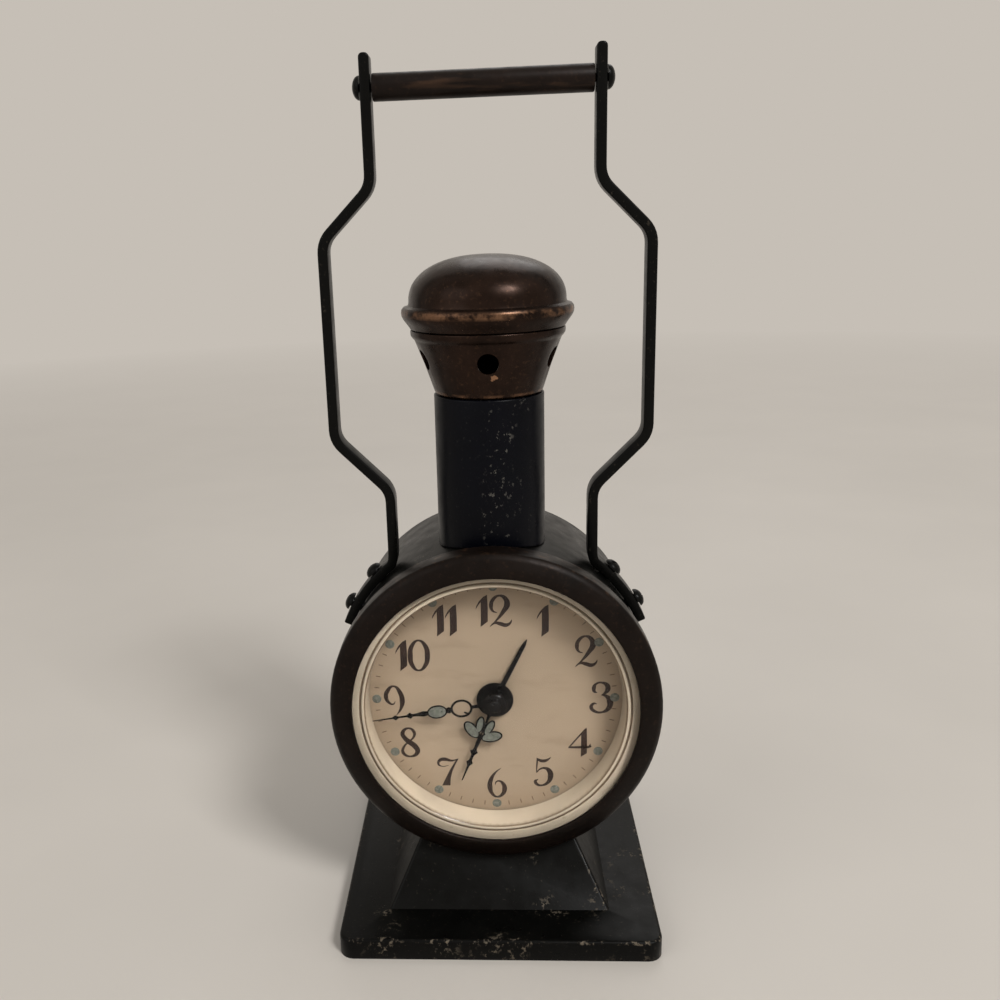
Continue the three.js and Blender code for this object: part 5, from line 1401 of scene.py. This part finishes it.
class CLOCK_OT_stage(bpy.types.Operator):
    """Sets the pale floor, the soft lamps, the background and the camera"""

    bl_idname = "clock.stage"
    bl_label = "Stage"

    def lamp(self, name, place, size, power):
        """A square area lamp pointed at the middle of the clock"""
        aim = Vector((0, 0, 0.09))
        bpy.ops.object.light_add(type="AREA", location=place)
        lamp = bpy.context.object
        lamp.name = name
        lamp.data.shape = "SQUARE"
        lamp.data.size = size
        lamp.data.energy = power
        lamp.rotation_euler = (aim - Vector(place)).to_track_quat("-Z", "Y").to_euler()

    def camera(self):
        """The photograph's viewpoint, from its yaw, pitch and roll"""
        yaw, pitch, roll = (math.radians(a) for a in (3.79, 15.57, -2.11))
        flat = Vector((-math.sin(yaw), math.cos(yaw), 0)) * math.cos(pitch)
        ahead = flat - math.sin(pitch) * ALONG_Z
        right = ahead.cross(ALONG_Z).normalized()
        up = right.cross(ahead)
        across = right * math.cos(roll) + up * math.sin(roll)
        upward = up * math.cos(roll) - right * math.sin(roll)
        bpy.ops.object.camera_add()
        camera = bpy.context.object
        camera.name = "photograph_view"
        turn = Matrix((across, upward, -ahead)).transposed().to_4x4()
        camera.matrix_world = Matrix.Translation(Vector((1.18, -230.4, 163.24)) * MM) @ turn
        camera.data.lens = 36
        camera.data.sensor_width = 36
        camera.data.shift_x = 0.0676
        camera.data.shift_y = 0.003
        camera.data.clip_start = 0.005
        bpy.context.scene.camera = camera

    def floor(self, pale, background):
        """A painted board that runs up into the background, as a studio's sweep does"""
        select()
        bpy.ops.mesh.primitive_plane_add(size=6, location=(0, 0, 0))
        floor = named("floor")
        look, add, place = new_material("pale painted board")
        tone = speckle(add, place, 9, 0.3, 0.7)
        base = layered(add, shade(pale, 0.97), (tone, shade(pale, 1.02)))
        board = add("BsdfPrincipled", {"Base Color": base, "Roughness": 0.6})
        # the board begins to fade about half a metre away
        away = add("VectorMath", (place,), operation="LENGTH")
        faded = add("MapRange", (away, 0.45, 1.3))
        both = add("MixShader", (faded, board, add("Emission", {"Color": background})))
        add("OutputMaterial", {"Surface": both})
        floor.data.materials.append(look)

    def execute(self, context):
        settings = context.scene.clock_stage
        background = tuple(settings.background)
        self.floor(tuple(settings.floor), background)
        world = bpy.data.worlds.new("room")
        context.scene.world = world
        world.use_nodes = True
        world.node_tree.nodes.clear()
        # camera, metal and glass see the background, and all else the even room light
        add = partial(add_node, world.node_tree)
        rays = add("LightPath").outputs
        seen = (rays["Is Camera Ray"], rays["Is Transmission Ray"])
        seen = add("Math", seen, operation="MAXIMUM")
        seen = add("Math", (seen, rays["Is Glossy Ray"]), operation="MAXIMUM")
        room = add("Background", {"Color": tuple(settings.room), "Strength": settings.sky_level})
        back = add("Background", {"Color": background, "Strength": 1})
        add("OutputWorld", {"Surface": add("MixShader", (seen, room, back))})
        self.lamp("key_lamp", (0.75, -0.95, 1.25), 0.4, settings.key_power)
        self.lamp("fill_lamp", (-1.1, -0.9, 0.9), 1.1, settings.fill_power)
        self.lamp("rim_lamp", (0.2, 1.1, 1.2), 0.9, settings.fill_power)
        self.camera()
        context.scene.view_settings.view_transform = "Standard"
        return {"FINISHED"}


OPERATORS = [
    CLOCK_OT_stage,
    CLOCK_OT_drum,
    CLOCK_OT_bezel,
    CLOCK_OT_base,
    CLOCK_OT_crystal,
    CLOCK_OT_dial,
    CLOCK_OT_print,
    CLOCK_OT_hands,
    CLOCK_OT_chimney,
    CLOCK_OT_cap,
    CLOCK_OT_bail,
    CLOCK_OT_back,
    CLOCK_OT_controls,
    CLOCK_OT_movement,
]


class CLOCK_PT_panel(bpy.types.Panel):
    """Lists the sizes, colours and steps of the clock"""

    bl_idname = "CLOCK_PT_panel"
    bl_label = "Signal lamp clock"
    bl_space_type = "VIEW_3D"
    bl_region_type = "UI"
    bl_category = "Clock"

    def draw(self, context):
        for group in ("clock_sizes", "clock_colours", "clock_stage"):
            box = self.layout.box()
            settings = getattr(context.scene, group)
            for name in settings.__annotations__:
                box.prop(settings, name)
        for operator in OPERATORS:
            self.layout.operator(operator.bl_idname)


CLASSES = [ClockSizes, ClockColours, StageSettings, *OPERATORS, CLOCK_PT_panel]


def register():
    for item in CLASSES:
        bpy.utils.register_class(item)
    bpy.types.Scene.clock_sizes = PointerProperty(type=ClockSizes)
    bpy.types.Scene.clock_colours = PointerProperty(type=ClockColours)
    bpy.types.Scene.clock_stage = PointerProperty(type=StageSettings)


def unregister():
    for name in ("clock_sizes", "clock_colours", "clock_stage"):
        delattr(bpy.types.Scene, name)
    for item in reversed(CLASSES):
        bpy.utils.unregister_class(item)


def main():
    register()
    for operator in OPERATORS:
        group, name = operator.bl_idname.split(".")
        getattr(getattr(bpy.ops, group), name)()
    select()


if __name__ == "__main__":
    main()
